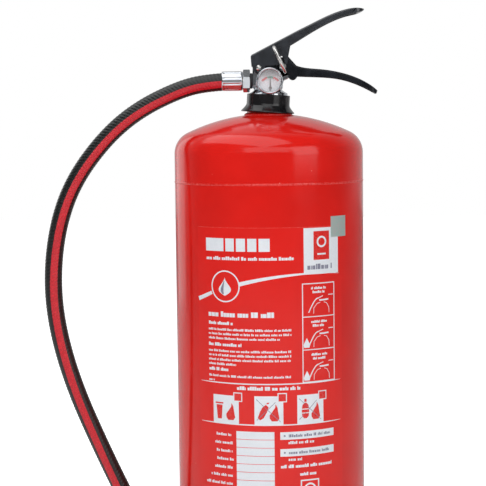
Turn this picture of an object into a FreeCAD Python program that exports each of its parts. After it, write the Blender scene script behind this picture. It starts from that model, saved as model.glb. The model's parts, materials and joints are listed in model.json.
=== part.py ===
import FreeCAD, Part
import math
import os

# A 9 litre stored-pressure water extinguisher: welded steel vessel on a moulded
# foot, squeeze-grip valve with a pressure gauge, and a hose that ends in a
# nozzle parked in a pocket of the foot. Millimetres. +Z is up, the floor is
# z = 0 and the vessel's axis is x = y = 0. The grips point to +X, the hose
# leaves to -X and the gauge faces -Y.

V = FreeCAD.Vector
UP = V(0, 0, 1)
ORIGIN = V(0, 0, 0)

# ---- vessel
vessel_r = 90.0
wall = 1.6
crown_z = 520.0          # top of the upper head; valve heights are counted from it
foot_gap = 8.0           # floor to the lowest point of the lower head
dish_r = 180.0           # crown radius of the pressed heads
knuckle_r = 22.0
skirt = 25.5             # straight part of a pressed head, down to its weld
weld_w = 2.0
weld_h = 0.35
foot_in, foot_r = 84.0, 93.5
foot_high = 56.0

# ---- neck, collar and valve body (heights above the crown)
neck_r = 20.3
neck_top = 4.3
neck_bottom = -8.0
shank_r = 15.0
seat_chamfer = 3.2
shoulder_r = 16.0
flange_r = 18.6
flange_low = 13.2
flange_high = 18.9
barrel_low = 20.8
body_r = 14.2
head_half_y = 9.0
head_top = 51.0
collar_lean = 3.8        # degrees: the loose collar sits askew

# ---- squeeze grip
pivot_x, pivot_h = -8.5, 43.1
pin_x, pin_h = 13.9, 43.6
pivot_r = 2.2
pin_r = 2.0
running = 0.05
plate = 2.0
handle_half_y = 11.1
lever_half_y = 13.4
lever_travel = 14.0      # degrees
lever_slope = 0.507      # rise of the lever's web over the valve
lever_left_x, lever_left_h = -16.2, 55.0

# ---- stem (moves straight down when the lever is squeezed)
stem_r = 3.0
cap_r = 4.5
cap_round = 6.0
cap_gap = 0.35           # free play between the cap and the lever's web
seat_h = 24.0
seal_r = 7.5
chamber_r = 8.5
spring_low, spring_high = 4.5, 18.6

# ---- gauge
gauge_x, gauge_h = 1.8, 30.8
gauge_r = 12.1
needle_x, needle_h = 2.2, 24.0
needle_reach = 11.7

# ---- hose and its fittings
outlet_h = 31.2
hose_r = 8.5
hose_bore = 4.7
ferrule_r = 9.3
nozzle_x, nozzle_z = -104.0, 18.0    # middle of the nozzle's tip
nozzle_lean = 15.0                   # degrees outwards
nozzle_tail = 73.0                   # tip to the shoulder under its ferrule
ferrule_len = 20.0

# The hose's route in the plane y = 0: (x, z) from the valve to the nozzle.
hose_route = [
    (-28.0, 551.2), (-57.0, 550.4), (-86.0, 543.5), (-126.0, 524.0), (-158.0, 497.0),
    (-188.0, 457.0), (-204.0, 414.5), (-210.5, 363.5), (-206.5, 314.5), (-191.5, 258.5),
    (-164.5, 194.0), (-133.5, 128.0), (-123.4, 90.4),
]


# ---------------------------------------------------------------- helpers

def h(height):
    """Height above the crown, as a z."""
    return crown_z + height


def rod(radius, low, high, x=0.0, y=0.0):
    return Part.makeCylinder(radius, high - low, V(x, y, low), UP)


def rod_x(radius, x0, x1, z, y=0.0):
    """A cylinder from x0 towards -X to x1."""
    return Part.makeCylinder(radius, x0 - x1, V(x0, y, z), V(-1, 0, 0))


def rod_y(radius, y0, y1, x, z):
    return Part.makeCylinder(radius, y1 - y0, V(x, y0, z), V(0, 1, 0))


def turned(profile, angle=360.0):
    """A closed (radius, z) outline turned about the vessel's axis."""
    points = [V(r, 0, z) for r, z in profile]
    face = Part.Face(Part.makePolygon(points + points[:1]))
    return face.revolve(ORIGIN, UP, angle)


def turned_x(profile, z):
    """A closed (radius, distance) outline turned about the outlet's axis; distance runs to -X."""
    shape = turned(profile)
    shape.rotate(ORIGIN, V(0, 1, 0), -90)
    shape.translate(V(0, 0, z))
    return shape


def turned_y(profile, x, z):
    """A closed (radius, distance) outline turned about an axis that runs to -Y."""
    shape = turned(profile)
    shape.rotate(ORIGIN, V(1, 0, 0), 90)
    shape.translate(V(x, 0, z))
    return shape


def straight(points):
    """Edges through (x, z) points."""
    spots = [V(x, 0, z) for x, z in points]
    return [Part.LineSegment(a, b).toShape() for a, b in zip(spots, spots[1:])]


def smooth(points):
    """One curved edge through (x, z) points."""
    curve = Part.BSplineCurve()
    curve.interpolate([V(x, 0, z) for x, z in points])
    return [curve.toShape()]


def slab(edges, y0, y1):
    """A side view, given as edges in the plane y = 0, made a plate from y0 to y1."""
    face = Part.Face(Part.Wire(edges))
    face.translate(V(0, y0, 0))
    return face.extrude(V(0, y1 - y0, 0))


def above_crown(points):
    return [(x, h(height)) for x, height in points]


def fuse(shapes):
    whole = shapes[0]
    for shape in shapes[1:]:
        whole = whole.fuse(shape)
    return whole.removeSplitter()


def nozzle_frame(shape):
    """Moves a shape made along +Z from the origin onto the nozzle's leaning axis."""
    shape.rotate(ORIGIN, V(0, 1, 0), -nozzle_lean)
    shape.translate(V(nozzle_x, 0, nozzle_z))
    return shape


# ---------------------------------------------------------------- vessel

def head_block(inset):
    """The space a pressed head encloses, apex at z = 0, down to its skirt's end."""
    r, dish, knuckle = vessel_r - inset, dish_r - inset, knuckle_r - inset
    centre = -dish_r
    ring_r = vessel_r - knuckle_r
    ring_z = centre + math.sqrt((dish_r - knuckle_r) ** 2 - ring_r ** 2)
    turn = math.atan2(ring_z - centre, ring_r)

    def on(cx, cz, radius, angle):
        return V(cx + radius * math.cos(angle), 0, cz + radius * math.sin(angle))

    apex, join = on(0, centre, dish, math.pi / 2), on(0, centre, dish, turn)
    side = V(r, 0, ring_z)
    low = ring_z - skirt
    edges = [
        Part.Arc(apex, on(0, centre, dish, (turn + math.pi / 2) / 2), join).toShape(),
        Part.Arc(join, on(ring_r, ring_z, knuckle, turn / 2), side).toShape(),
        Part.LineSegment(side, V(r, 0, low)).toShape(),
        Part.LineSegment(V(r, 0, low), V(0, 0, low)).toShape(),
        Part.LineSegment(V(0, 0, low), apex).toShape(),
    ]
    return Part.Face(Part.Wire(edges)).revolve(ORIGIN, UP, 360)


def head_shell():
    return head_block(0.0).cut(head_block(wall))


def straight_line_drop():
    """From a head's apex down to the end of its skirt."""
    ring_r = vessel_r - knuckle_r
    return dish_r - math.sqrt((dish_r - knuckle_r) ** 2 - ring_r ** 2) + skirt


upper_weld_z = crown_z - straight_line_drop() - weld_w / 2
lower_weld_z = foot_gap + straight_line_drop() + weld_w / 2


def top_dome():
    shell = head_shell()
    shell.translate(V(0, 0, crown_z))
    return shell.cut(rod(neck_r, h(-20), h(10)))


def bottom_dome():
    shell = head_shell()
    shell.rotate(ORIGIN, V(1, 0, 0), 180)
    shell.translate(V(0, 0, foot_gap))
    return shell


def barrel():
    low, high = lower_weld_z + weld_w / 2, upper_weld_z - weld_w / 2
    return rod(vessel_r, low, high).cut(rod(vessel_r - wall, low, high))


def girth_weld(z):
    half = weld_w / 2
    inner = vessel_r - wall
    return turned([
        (inner, z - half), (vessel_r, z - half), (vessel_r + weld_h, z - half / 2),
        (vessel_r + weld_h, z + half / 2), (vessel_r, z + half), (inner, z + half),
    ])


def neck_ring():
    return turned([
        (shank_r, h(neck_bottom)), (neck_r, h(neck_bottom)), (neck_r, h(neck_top - 0.8)),
        (neck_r - 0.8, h(neck_top)), (shank_r + seat_chamfer, h(neck_top)),
        (shank_r, h(neck_top - seat_chamfer)),
    ])


def neck_weld():
    """The fillet bead where the neck ring meets the crown."""
    reach = 2.8
    bead = turned([
        (neck_r, h(-4)), (neck_r + reach, h(-4)), (neck_r + reach, h(-1.2)),
        (neck_r + 1.0, h(-0.3)), (neck_r, h(1.0)),
    ])
    vessel = head_block(0.0)
    vessel.translate(V(0, 0, crown_z))
    return bead.cut(vessel)


def foot_ring():
    """Moulded foot: two walls under the lower head, and a pocket for the nozzle."""
    skirt_ring = turned([
        (foot_in, 0), (foot_in + 2.6, 0), (foot_in + 2.6, 24.0), (foot_r - 3.1, 26.0),
        (foot_r - 3.1, 0), (foot_r, 0), (foot_r, 8.0), (foot_r - 0.8, foot_high - 1.0),
        (foot_r - 1.6, foot_high), (vessel_r, foot_high), (vessel_r, 40.0), (foot_in, 33.0),
    ])
    pocket_r, cup_r = 9.0, 12.0
    cup = nozzle_frame(rod(cup_r, -6.0, 34.0))
    bore = nozzle_frame(rod(pocket_r, -3.5, 40.0))
    drain = nozzle_frame(rod(3.0, -12.0, 0.0))
    web = Part.makeBox(14.0, 7.0, 34.0, V(-105.5, -3.5, 11.0))
    hull = rod(vessel_r, foot_gap + straight_line_drop() - skirt, 80.0)
    vessel = head_block(0.0)
    vessel.rotate(ORIGIN, V(1, 0, 0), 180)
    vessel.translate(V(0, 0, foot_gap))
    inside = rod(foot_r - 2.5, -5.0, 60.0)
    pocket = fuse([cup, web]).cut(inside)
    return fuse([skirt_ring, pocket]).cut(bore).cut(drain).cut(hull).cut(vessel)


# ---------------------------------------------------------------- valve

def stem_cap_centre():
    """Height of the centre of the cap's round, cap_gap clear of the lever's web."""
    slope = math.atan(lever_slope)
    web_at_pivot = lever_left_h + lever_slope * (pivot_x - lever_left_x) - pivot_h
    away = web_at_pivot * math.cos(slope) - plate
    reach = -pivot_x
    return pivot_h + (away - cap_round + reach * math.sin(slope)) / math.cos(slope) - cap_gap


def valve_body():
    barrel_part = turned([
        (0, h(-10)), (shank_r - 1, h(-10)), (shank_r, h(-9)), (shank_r, h(neck_top)),
        (shoulder_r, h(neck_top)), (shoulder_r, h(flange_low)), (flange_r, h(flange_low)),
        (flange_r, h(flange_high)), (15.3, h(barrel_low)), (13.2, h(22.4)),
        (body_r, h(24.5)), (body_r, h(33.0)), (0, h(33.0)),
    ])
    side_view = straight(above_crown([
        (-14.5, 26), (-14.5, 49), (-12.5, head_top), (13, head_top), (19.7, 47),
        (19.7, 33.1), (15.4, 31.2), (13.5, 26), (-14.5, 26),
    ]))
    head = slab(side_view, -head_half_y, head_half_y)
    outlet = fuse([rod_x(7.0, 0, -15.0, h(outlet_h)), rod_x(6.5, 0, -22.0, h(outlet_h))])
    gauge_boss = turned_y([(0, 0), (7.0, 0), (7.0, 13.9), (6.4, 14.5), (0, 14.5)],
                          gauge_x, h(gauge_h))
    body = fuse([barrel_part, head, outlet, gauge_boss])
    cuts = [
        rod(chamber_r, h(-12), h(seat_h)),
        rod(5.0, h(seat_h - 1), h(seat_h + 2)),
        rod(6.0, h(seat_h + 2), h(36)),
        rod(stem_r + running, h(35), h(47)),
        rod(6.0, h(46.2), h(head_top + 1)),
        rod_x(4.0, 0, -23.0, h(outlet_h)),
        rod_y(5.0, -15.0, -7.6, gauge_x, h(gauge_h)),
        rod(0.8, h(20), h(gauge_h), gauge_x, -8.0),
        rod_y(gauge_r + 0.4, -20, -14.6, gauge_x, h(gauge_h)),
        rod_y(pivot_r, -10, 10, pivot_x, h(pivot_h)),
        rod_y(pin_r + running, -10, 10, pin_x, h(pin_h)),
        rod_y(2.0, -10, 10, 8.6, h(47.3)),
    ]
    for cut in cuts:
        body = body.cut(cut)
    return body


def collar():
    """Loose moulded collar round the neck: a cup above, a flared skirt below."""
    shape = turned([
        (20.5, 17.4), (20.5, 8.6), (21.0, 7.2), (22.1, 5.6), (23.4, 4.0), (25.35, 2.0),
        (25.35, 1.2), (24.4, 0.8), (22.2, 3.4), (21.0, 4.8), (21.0, 6.0), (17.3, 6.0),
        (17.3, 11.8), (19.4, 11.8), (19.4, 18.0), (19.9, 18.0),
    ])
    shape.rotate(V(0, 0, 9), V(0, 1, 0), collar_lean)
    shape.translate(V(0, 0, crown_z))
    return shape


def neck_o_ring():
    return Part.makeTorus(shank_r + 0.94, 0.9, V(0, 0, h(neck_top - 0.94)), UP)


def stem_gland():
    """Threaded gland that closes the stem's packing bore."""
    shape = fuse([rod(6.0, h(48.8), h(head_top)), hexagon(11.0, h(head_top), h(52.3))])
    return shape.cut(rod(stem_r + running, h(45), h(60)))


def stem_packing():
    ring = turned([
        (stem_r + running, h(46.3)), (5.9, h(46.3)), (5.9, h(48.7)), (stem_r + running, h(48.7)),
    ])
    return ring


def hexagon(across_flats, low, high):
    """A six-sided bar along Z with two flats square to Y."""
    corner = across_flats / math.sqrt(3)
    spots = [V(corner * math.cos(math.radians(60 * i)), corner * math.sin(math.radians(60 * i)), low)
             for i in range(6)]
    return Part.Face(Part.makePolygon(spots + spots[:1])).extrude(V(0, 0, high - low))


def valve_stem():
    """Carrier, rod and round-topped cap in one turned piece."""
    centre = stem_cap_centre()
    cap_low = centre + 1.8
    carrier = rod(seal_r, h(spring_high), h(spring_high + 2.0))
    shaft = rod(stem_r, h(spring_high), h(cap_low + 0.5))
    cap = rod(cap_r, h(cap_low), h(centre + cap_round))
    ball = Part.makeSphere(cap_round, V(0, 0, h(centre)))
    nose = rod(2.2, h(spring_high - 4.0), h(spring_high))
    return fuse([carrier, shaft, cap.common(ball), nose])


def stem_seal():
    return rod(seal_r, h(spring_high + 2.0), h(seat_h)).cut(rod(stem_r, h(10), h(30)))


def valve_spring():
    wire_r, coil_r, turns = 0.65, 5.6, 5.0
    low, high = h(spring_low) + wire_r, h(spring_high) - wire_r
    pitch = (high - low) / turns
    path = Part.makeHelix(pitch, high - low, coil_r)
    ring = Part.Wire(Part.Circle(V(coil_r, 0, 0), V(0, 1, pitch / (2 * math.pi * coil_r)), wire_r).toShape())
    coil = Part.Wire(path).makePipeShell([ring], True, True)
    coil.translate(V(0, 0, low))
    return coil


def siphon_adaptor():
    """Screws into the valve from below, carries the spring and holds the siphon tube."""
    shape = fuse([
        rod(chamber_r, h(-10), h(spring_low)), rod(12.0, h(-14), h(-10)), rod(7.5, h(-26), h(-14)),
    ])
    return shape.cut(rod(4.0, h(-30), h(10))).cut(rod(5.0, h(-30), h(-15)))


def siphon_tube():
    low = 34.0
    return rod(5.0, low, h(-15)).cut(rod(4.0, low - 1, h(-14)))


def siphon_strainer():
    """Slotted cap on the tube's lower end."""
    shape = rod(6.4, 20.0, 44.0).cut(rod(5.0, 34.0, 45.0)).cut(rod(4.2, 22.0, 36.0))
    for i in range(3):
        slot = Part.makeBox(16.0, 1.6, 8.0, V(-8.0, -0.8, 23.5))
        slot.rotate(ORIGIN, UP, 60 * i)
        shape = shape.cut(slot)
    return shape


# ---------------------------------------------------------------- squeeze grip

def pivot_hole(radius):
    return rod_y(radius, -20, 20, pivot_x, h(pivot_h))


def pin_arc():
    """The space the safety pin sweeps in the lever's cheeks while the lever is squeezed."""
    reach = math.hypot(pin_x - pivot_x, pin_h - pivot_h)
    clear = pin_r + 0.9
    start = math.atan2(pin_h - pivot_h, pin_x - pivot_x)
    a0, a1 = start - math.radians(16), start + math.radians(lever_travel + 13)

    def on(radius, angle):
        return V(pivot_x + radius * math.cos(angle), 0, h(pivot_h) + radius * math.sin(angle))

    near, far, mid = reach - clear, reach + clear, (a0 + a1) / 2
    edges = [
        Part.Arc(on(near, a0), on(near, mid), on(near, a1)).toShape(),
        Part.LineSegment(on(near, a1), on(far, a1)).toShape(),
        Part.Arc(on(far, a1), on(far, mid), on(far, a0)).toShape(),
        Part.LineSegment(on(far, a0), on(near, a0)).toShape(),
    ]
    return slab(edges, -20, 20)


def squeeze_lever():
    """Pressed channel: web on top, cheeks down to the pivot, shallow sides to the tip."""
    top = [(30.7, 78.9), (49.6, 88.0), (68.5, 95.6), (81.0, 98.2), (91.5, 97.5)]
    under = [(91.5, 96.6), (85.4, 93.9), (77.9, 92.2), (59.0, 85.5), (40.1, 75.3), (21.7, 64.4)]
    left = (lever_left_x, lever_left_h)
    edges = straight(above_crown([(-15.4, 44.5), left, top[0]]))
    edges += smooth(above_crown(top)) + straight(above_crown([top[-1], under[0]]))
    edges += smooth(above_crown(under))
    edges += straight(above_crown([under[-1], (19.5, 53.5), (18.3, 46.0), (-2.0, 44.8), (-15.4, 44.5)]))
    solid = fuse([
        slab(edges, -lever_half_y, lever_half_y),
        rod_y(5.6, -lever_half_y, lever_half_y, pivot_x, h(pivot_h)),
    ])
    drop = plate * math.sqrt(1 + lever_slope ** 2)
    start_x = -30.0
    start = (start_x, lever_left_h + lever_slope * (start_x - lever_left_x) - drop)
    ceiling = [(30.7, 78.9 - drop), (49.6, 88.0 - drop), (68.5, 95.6 - 2.1), (81.0, 98.2 - plate)]
    inner = straight(above_crown([(start_x, 20.0), start, ceiling[0]]))
    inner += smooth(above_crown(ceiling))
    inner += straight(above_crown([ceiling[-1], (84.5, 95.4), (84.5, 20.0), (start_x, 20.0)]))
    half = lever_half_y - plate
    solid = solid.cut(slab(inner, -half, half)).cut(pin_arc()).cut(pivot_hole(pivot_r + running))
    return round_ends(solid, lever_half_y, 91.5, 9.0)


def round_ends(solid, half_y, tip_x, radius):
    """Rounds the two corners of a grip's tip, seen from above."""
    for side in (-1, 1):
        y_edge = side * half_y
        square = Part.makeBox(radius + 1, radius + 1, 200,
                              V(tip_x - radius, min(y_edge - side * radius, y_edge + side), h(-60)))
        keep = Part.makeCylinder(radius, 200, V(tip_x - radius, y_edge - side * radius, h(-60)), UP)
        solid = solid.cut(square.cut(keep))
    return solid


def carry_handle():
    """Pressed channel: two cheeks riveted to the valve, web along the grip."""
    top = [(27.2, 44.9), (31.5, 43.6), (49.3, 41.4), (68.2, 38.2), (87.1, 31.6), (104.0, 20.6)]
    under = [(102.6, 17.5), (87.0, 25.7), (68.2, 31.8), (49.3, 33.9), (28.0, 34.9)]
    edges = straight(above_crown([(19.5, 53.5), top[0]])) + smooth(above_crown(top))
    edges += straight(above_crown([top[-1], under[0]])) + smooth(above_crown(under))
    edges += straight(above_crown([
        under[-1], (19.1, 36.4), (10.0, 37.4), (-3.0, 43.0), (-8.5, 39.5), (-12.6, 43.1),
        (-10.5, 47.5), (-3.0, 51.5), (19.5, 53.5),
    ]))
    solid = fuse([
        slab(edges, -handle_half_y, handle_half_y),
        rod_y(4.6, -handle_half_y, handle_half_y, pivot_x, h(pivot_h)),
        rod_y(4.2, -handle_half_y, handle_half_y, 23.8, h(35.8)),
    ])
    ceiling = [(27.5, 42.6), (31.5, 41.5), (49.3, 39.35), (68.2, 36.1), (87.1, 29.4), (100.0, 21.2)]
    inner = straight(above_crown([(-30, 10), (-30, 60), (27.5, 60), ceiling[0]]))
    inner += smooth(above_crown(ceiling))
    inner += straight(above_crown([ceiling[-1], (100.0, 10), (-30, 10)]))
    half = head_half_y + 0.1
    solid = solid.cut(slab(inner, -half, half)).cut(pivot_hole(pivot_r))
    solid = solid.cut(rod_y(pin_r + running, -20, 20, pin_x, h(pin_h)))
    solid = solid.cut(rod_y(2.0, -20, 20, 8.6, h(47.3)))
    return round_ends(solid, handle_half_y, 104.0, 7.0)


def pivot_rivet():
    """Dome-headed rivet that the lever turns on."""
    head_r, head_h = 2.9, 1.9
    round_r = (head_r ** 2 + head_h ** 2) / (2 * head_h)
    y = lever_half_y + 0.1
    shank = rod_y(pivot_r, -y, y, pivot_x, h(pivot_h))
    heads = []
    for side in (-1, 1):
        ball = Part.makeSphere(round_r, V(pivot_x, side * (y + head_h - round_r), h(pivot_h)))
        low, high = sorted((side * y, side * (y + head_h)))
        heads.append(ball.common(rod_y(head_r, low, high, pivot_x, h(pivot_h))))
    return fuse([shank] + heads)


def handle_rivet():
    return rod_y(2.0, -handle_half_y, handle_half_y, 8.6, h(47.3))


# ---------------------------------------------------------------- safety pin and ring

eye_y = -18.0
ring_r, ring_wire = 12.7, 1.5
ring_tilt = math.radians(66.1)       # slope of the ring's plane, down to +X
ring_turn = math.radians(33.3)       # how far the ring's centre stands above the eye


def ring_axes():
    """(along the wire at the eye, eye to the ring's centre, the ring's normal)."""
    slope = V(math.cos(ring_tilt), 0, -math.sin(ring_tilt))
    out = V(0, -1, 0)
    wire = slope * math.cos(ring_turn) + out * math.sin(ring_turn)
    centre = out * math.cos(ring_turn) - slope * math.sin(ring_turn)
    return wire, centre, wire.cross(centre)


def eye():
    return V(pin_x, eye_y, h(pin_h))


def safety_pin():
    wire, _, _ = ring_axes()
    tail = lever_half_y + 3.0
    shaft = rod_y(pin_r, eye_y, tail, pin_x, h(pin_h))
    tip = Part.makeSphere(pin_r, V(pin_x, tail, h(pin_h)))
    ball = Part.makeSphere(3.6, eye())
    hole = Part.makeCylinder(ring_wire + 0.6, 20, eye() - wire * 10, wire)
    return fuse([shaft, tip, ball]).cut(hole)


def pull_ring():
    _, centre, normal = ring_axes()
    return Part.makeTorus(ring_r, ring_wire, eye() + centre * ring_r, normal)


# ---------------------------------------------------------------- gauge

def on_gauge(profile):
    return turned_y(profile, gauge_x, h(gauge_h))


def gauge_stem():
    return on_gauge([(0.9, 7.6), (4.4, 7.6), (5.0, 8.2), (5.0, 15.5), (7.0, 15.5), (7.0, 16.2),
                     (3.0, 16.2), (3.0, 17.4), (0.9, 17.4)])


def gauge_seal():
    return on_gauge([(5.05, 14.5), (6.6, 14.5), (6.6, 15.0), (5.05, 15.0)])


def gauge_case():
    return on_gauge([(5.1, 15.0), (9.6, 15.0), (11.4, 15.9), (gauge_r, 17.4), (gauge_r, 24.0),
                     (11.3, 24.0), (11.3, 18.0), (10.8, 16.6), (7.1, 16.2), (7.1, 15.5),
                     (5.1, 15.5)])


def gauge_bezel():
    return on_gauge([(gauge_r, 22.6), (12.5, 22.6), (12.5, 25.3), (12.1, 26.0), (11.2, 26.2),
                     (10.5, 25.7), (10.5, 25.2), (11.9, 25.2), (11.9, 24.0), (gauge_r, 24.0)])


def gauge_lens():
    """Slightly domed window."""
    return on_gauge([(0, 24.2), (11.8, 24.2), (11.8, 25.1), (10.4, 25.15), (5.5, 25.6), (0, 25.75)])


def gauge_dial():
    disc = on_gauge([(0, 21.2), (11.2, 21.2), (11.2, 21.7), (0, 21.7)])
    return disc.cut(rod_y(0.9, -25, -18, needle_x, h(needle_h)))


def gauge_needle():
    """Pointer on a short spindle that passes through the dial."""
    low_y, high_y = -23.1, -22.7
    spots = [(-0.75, -2.6), (0.75, -2.6), (0.5, 4.0), (0.16, needle_reach), (-0.16, needle_reach),
             (-0.5, 4.0), (-0.75, -2.6)]
    pointer = slab(straight([(needle_x + x, h(needle_h + z)) for x, z in spots]), low_y, high_y)
    hub = rod_y(1.5, low_y - 0.3, high_y + 0.4, needle_x, h(needle_h))
    spindle = rod_y(0.5, -22.5, -19.2, needle_x, h(needle_h))
    return fuse([pointer, hub, spindle])


def bourdon_coil():
    """Flat pressure coil behind the dial, round the needle's spindle."""
    big, small, y = 3.6, 0.5, -19.6
    loop = Part.makeTorus(big, small, V(needle_x, y, h(needle_h)), V(0, 1, 0), -180, 180, 290)
    feed_top = h(gauge_h) - 1.6
    return fuse([loop, rod(small, h(needle_h) + big - 0.3, feed_top, needle_x, y)])


# ---------------------------------------------------------------- hose and fittings

def outlet_washer():
    return turned_x([(6.5, 15.0), (7.35, 15.0), (7.35, 17.0), (6.5, 17.0)], h(outlet_h))


def hose_nut():
    """Swivel nut with two flats square to Y."""
    low, high, across = 17.0, 23.7, 19.0
    corner = across / math.sqrt(3)
    bar = hexagon(across, low, high)
    crown = turned([(0, low), (corner - 0.9, low), (corner + 0.1, low + 0.8),
                    (corner + 0.1, high - 0.8), (corner - 0.9, high), (0, high)])
    nut = bar.common(crown)
    nut = nut.cut(rod(6.5, low - 1, 22.5)).cut(rod(5.1, low, high + 1))
    nut.rotate(ORIGIN, V(0, 1, 0), -90)
    nut.translate(V(0, 0, h(outlet_h)))
    return nut


def hose_tail():
    """Flanged spigot: the nut pulls its flange on to the valve, the hose grips its barbs."""
    barbs = []
    start = 27.0
    for i in range(5):
        barbs += [(4.3, start + 3 * i), (hose_bore, start + 3 * i + 2.6)]
    return turned_x([(3.4, 22.0), (6.3, 22.0), (6.3, 22.5), (5.0, 22.5), (5.0, start - 0.5)]
                    + barbs + [(4.2, 42.0), (3.4, 42.0)], h(outlet_h))


def crimped(shape, flutes, ring_r, low, high):
    """Cuts the lengthwise crimps into a ferrule made along +Z."""
    groove_r = 2.6
    for i in range(flutes):
        angle = 2 * math.pi * (i + 0.5) / flutes
        away = ring_r + groove_r - 0.55
        groove = rod(groove_r, low, high, away * math.cos(angle), away * math.sin(angle))
        shape = shape.cut(groove)
    return shape


def ferrule(low, grip_r):
    """Crimped sleeve along +Z: closed neck at the bottom, mouth at the top."""
    high = low + ferrule_len
    shell = turned([
        (grip_r, low), (ferrule_r - 0.7, low), (ferrule_r, low + 0.7), (ferrule_r, high - 0.7),
        (ferrule_r - 0.4, high), (hose_r + 0.05, high), (hose_r + 0.05, low + 2.5), (grip_r, low + 2.5),
    ])
    return crimped(shell, 10, ferrule_r, low + 2.0, high - 1.2)


def hose_ferrule():
    shape = ferrule(23.9, 5.0)
    shape.rotate(ORIGIN, V(0, 1, 0), -90)
    shape.translate(V(0, 0, h(outlet_h)))
    return shape


def route_wire():
    """The hose's path: straight runs joined by tangent arcs, and the arcs' radii."""
    spots = [V(x, 0, z) for x, z in hose_route]
    edges, radii, last = [], [], spots[0]
    for a, b, c in zip(spots, spots[1:], spots[2:]):
        into, out = (b - a), (c - b)
        turn = into.getAngle(out)
        cut = 0.45 * min(into.Length, out.Length)
        radius = cut / math.tan(turn / 2)
        into.normalize()
        out.normalize()
        first, second = b - into * cut, b + out * cut
        bisector = (out - into).normalize()
        middle = b + bisector * (math.hypot(radius, cut) - radius)
        edges.append(Part.LineSegment(last, first).toShape())
        edges.append(Part.Arc(first, middle, second).toShape())
        radii.append(radius)
        last = second
    edges.append(Part.LineSegment(last, spots[-1]).toShape())
    return Part.Wire(edges), radii


def swept(path, radius):
    start = path.Vertexes[0].Point
    heading = V(hose_route[1][0] - hose_route[0][0], 0, hose_route[1][1] - hose_route[0][1])
    ring = Part.Wire(Part.Circle(start, heading, radius).toShape())
    return path.makePipeShell([ring], True, False)


def hose():
    path, radii = route_wire()
    print("hose radii:", [round(r) for r in radii], "length:", round(path.Length, 1))
    tube = swept(path, hose_r).cut(swept(path, hose_bore))
    section = math.pi * (hose_r ** 2 - hose_bore ** 2)
    print("hose volume over section times length:", round(tube.Volume / (section * path.Length), 4))
    return tube


def nozzle_body():
    """Tapered moulded nozzle with grip rings and a barbed tail, tip first."""
    rings = []
    for i in range(6):
        z = 36.0 + 4.0 * i
        rings += [(8.6, z), (9.2, z + 0.7), (9.2, z + 2.3), (8.6, z + 3.0)]
    tail = []
    for i in range(5):
        z = nozzle_tail + 2.4 + 3.0 * i
        tail += [(hose_bore, z), (4.2, z + 2.6)]
    shape = turned(
        [(5.0, 0), (7.2, 0), (8.0, 1.2), (8.4, 32.0)] + rings
        + [(8.6, 62.0), (9.3, 64.0), (9.3, nozzle_tail - 1.0), (8.5, nozzle_tail), (5.0, nozzle_tail),
           (5.0, nozzle_tail + 2.0)]
        + tail + [(3.6, nozzle_tail + 17.5), (3.6, 14.0), (5.0, 10.0)]
    )
    return nozzle_frame(shape)


def nozzle_tip():
    """Turned brass jet pressed into the nozzle's end."""
    shape = turned([(2.4, -1.5), (4.6, -1.5), (5.0, -0.9), (5.0, 9.9), (3.6, 9.9), (2.4, 5.0)])
    return nozzle_frame(shape)


def nozzle_ferrule():
    return nozzle_frame(ferrule(nozzle_tail, 5.0))


# ---------------------------------------------------------------- label

film = 0.15
label_low, label_high = 126.0, 417.5
label_left, label_right = -47.0, 47.0        # degrees from -Y, towards +X
sticker_low, sticker_high = 407.0, 426.0
sticker_left, sticker_right = 38.4, 50.9


def sleeve_patch(thick, low, high, left_deg, right_deg):
    """A thin sheet on the barrel."""
    ring = turned([
        (vessel_r, low), (vessel_r + thick, low), (vessel_r + thick, high), (vessel_r, high),
    ], right_deg - left_deg)
    ring.rotate(ORIGIN, UP, left_deg - 90)
    return ring


def label_sheet():
    return sleeve_patch(film, label_low, label_high, label_left, label_right)


def seal_sticker():
    """Stuck half on the label, half on the barrel."""
    patch = sleeve_patch(2 * film, sticker_low, sticker_high, sticker_left, sticker_right)
    return patch.cut(label_sheet())


# ---------------------------------------------------------------- output

pieces = {
    "top_dome": top_dome,
    "barrel_shell": barrel,
    "bottom_dome": bottom_dome,
    "upper_weld": lambda: girth_weld(upper_weld_z),
    "lower_weld": lambda: girth_weld(lower_weld_z),
    "neck_ring": neck_ring,
    "neck_weld": neck_weld,
    "foot_ring": foot_ring,
    "label_sheet": label_sheet,
    "seal_sticker": seal_sticker,
    "valve_body": valve_body,
    "valve_collar": collar,
    "neck_o_ring": neck_o_ring,
    "stem_gland": stem_gland,
    "stem_packing": stem_packing,
    "valve_stem": valve_stem,
    "stem_seal": stem_seal,
    "valve_spring": valve_spring,
    "siphon_adaptor": siphon_adaptor,
    "siphon_tube": siphon_tube,
    "siphon_strainer": siphon_strainer,
    "squeeze_lever": squeeze_lever,
    "carry_handle": carry_handle,
    "pivot_rivet": pivot_rivet,
    "handle_rivet": handle_rivet,
    "safety_pin": safety_pin,
    "pull_ring": pull_ring,
    "gauge_stem": gauge_stem,
    "gauge_seal": gauge_seal,
    "gauge_case": gauge_case,
    "gauge_bezel": gauge_bezel,
    "gauge_lens": gauge_lens,
    "gauge_dial": gauge_dial,
    "gauge_needle": gauge_needle,
    "bourdon_coil": bourdon_coil,
    "outlet_washer": outlet_washer,
    "hose_nut": hose_nut,
    "hose_tail": hose_tail,
    "hose_ferrule": hose_ferrule,
    "hose": hose,
    "nozzle_ferrule": nozzle_ferrule,
    "nozzle_body": nozzle_body,
    "nozzle_tip": nozzle_tip,
}


def main():
    os.makedirs("parts", exist_ok=True)
    for name, make in pieces.items():
        shape = make()
        solids = shape.Solids
        if not shape.isValid() or not solids:
            raise ValueError(name + " is not a valid solid")
        print(f"{name}: {len(solids)} solid, {shape.Volume / 1000:.2f} cm3")
        shape.exportStep("parts/" + name + ".step")


main()
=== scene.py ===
import json
import math

import bmesh
import bpy
import numpy as np
from bpy.props import FloatProperty, FloatVectorProperty
from mathutils import Matrix, Vector


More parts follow.
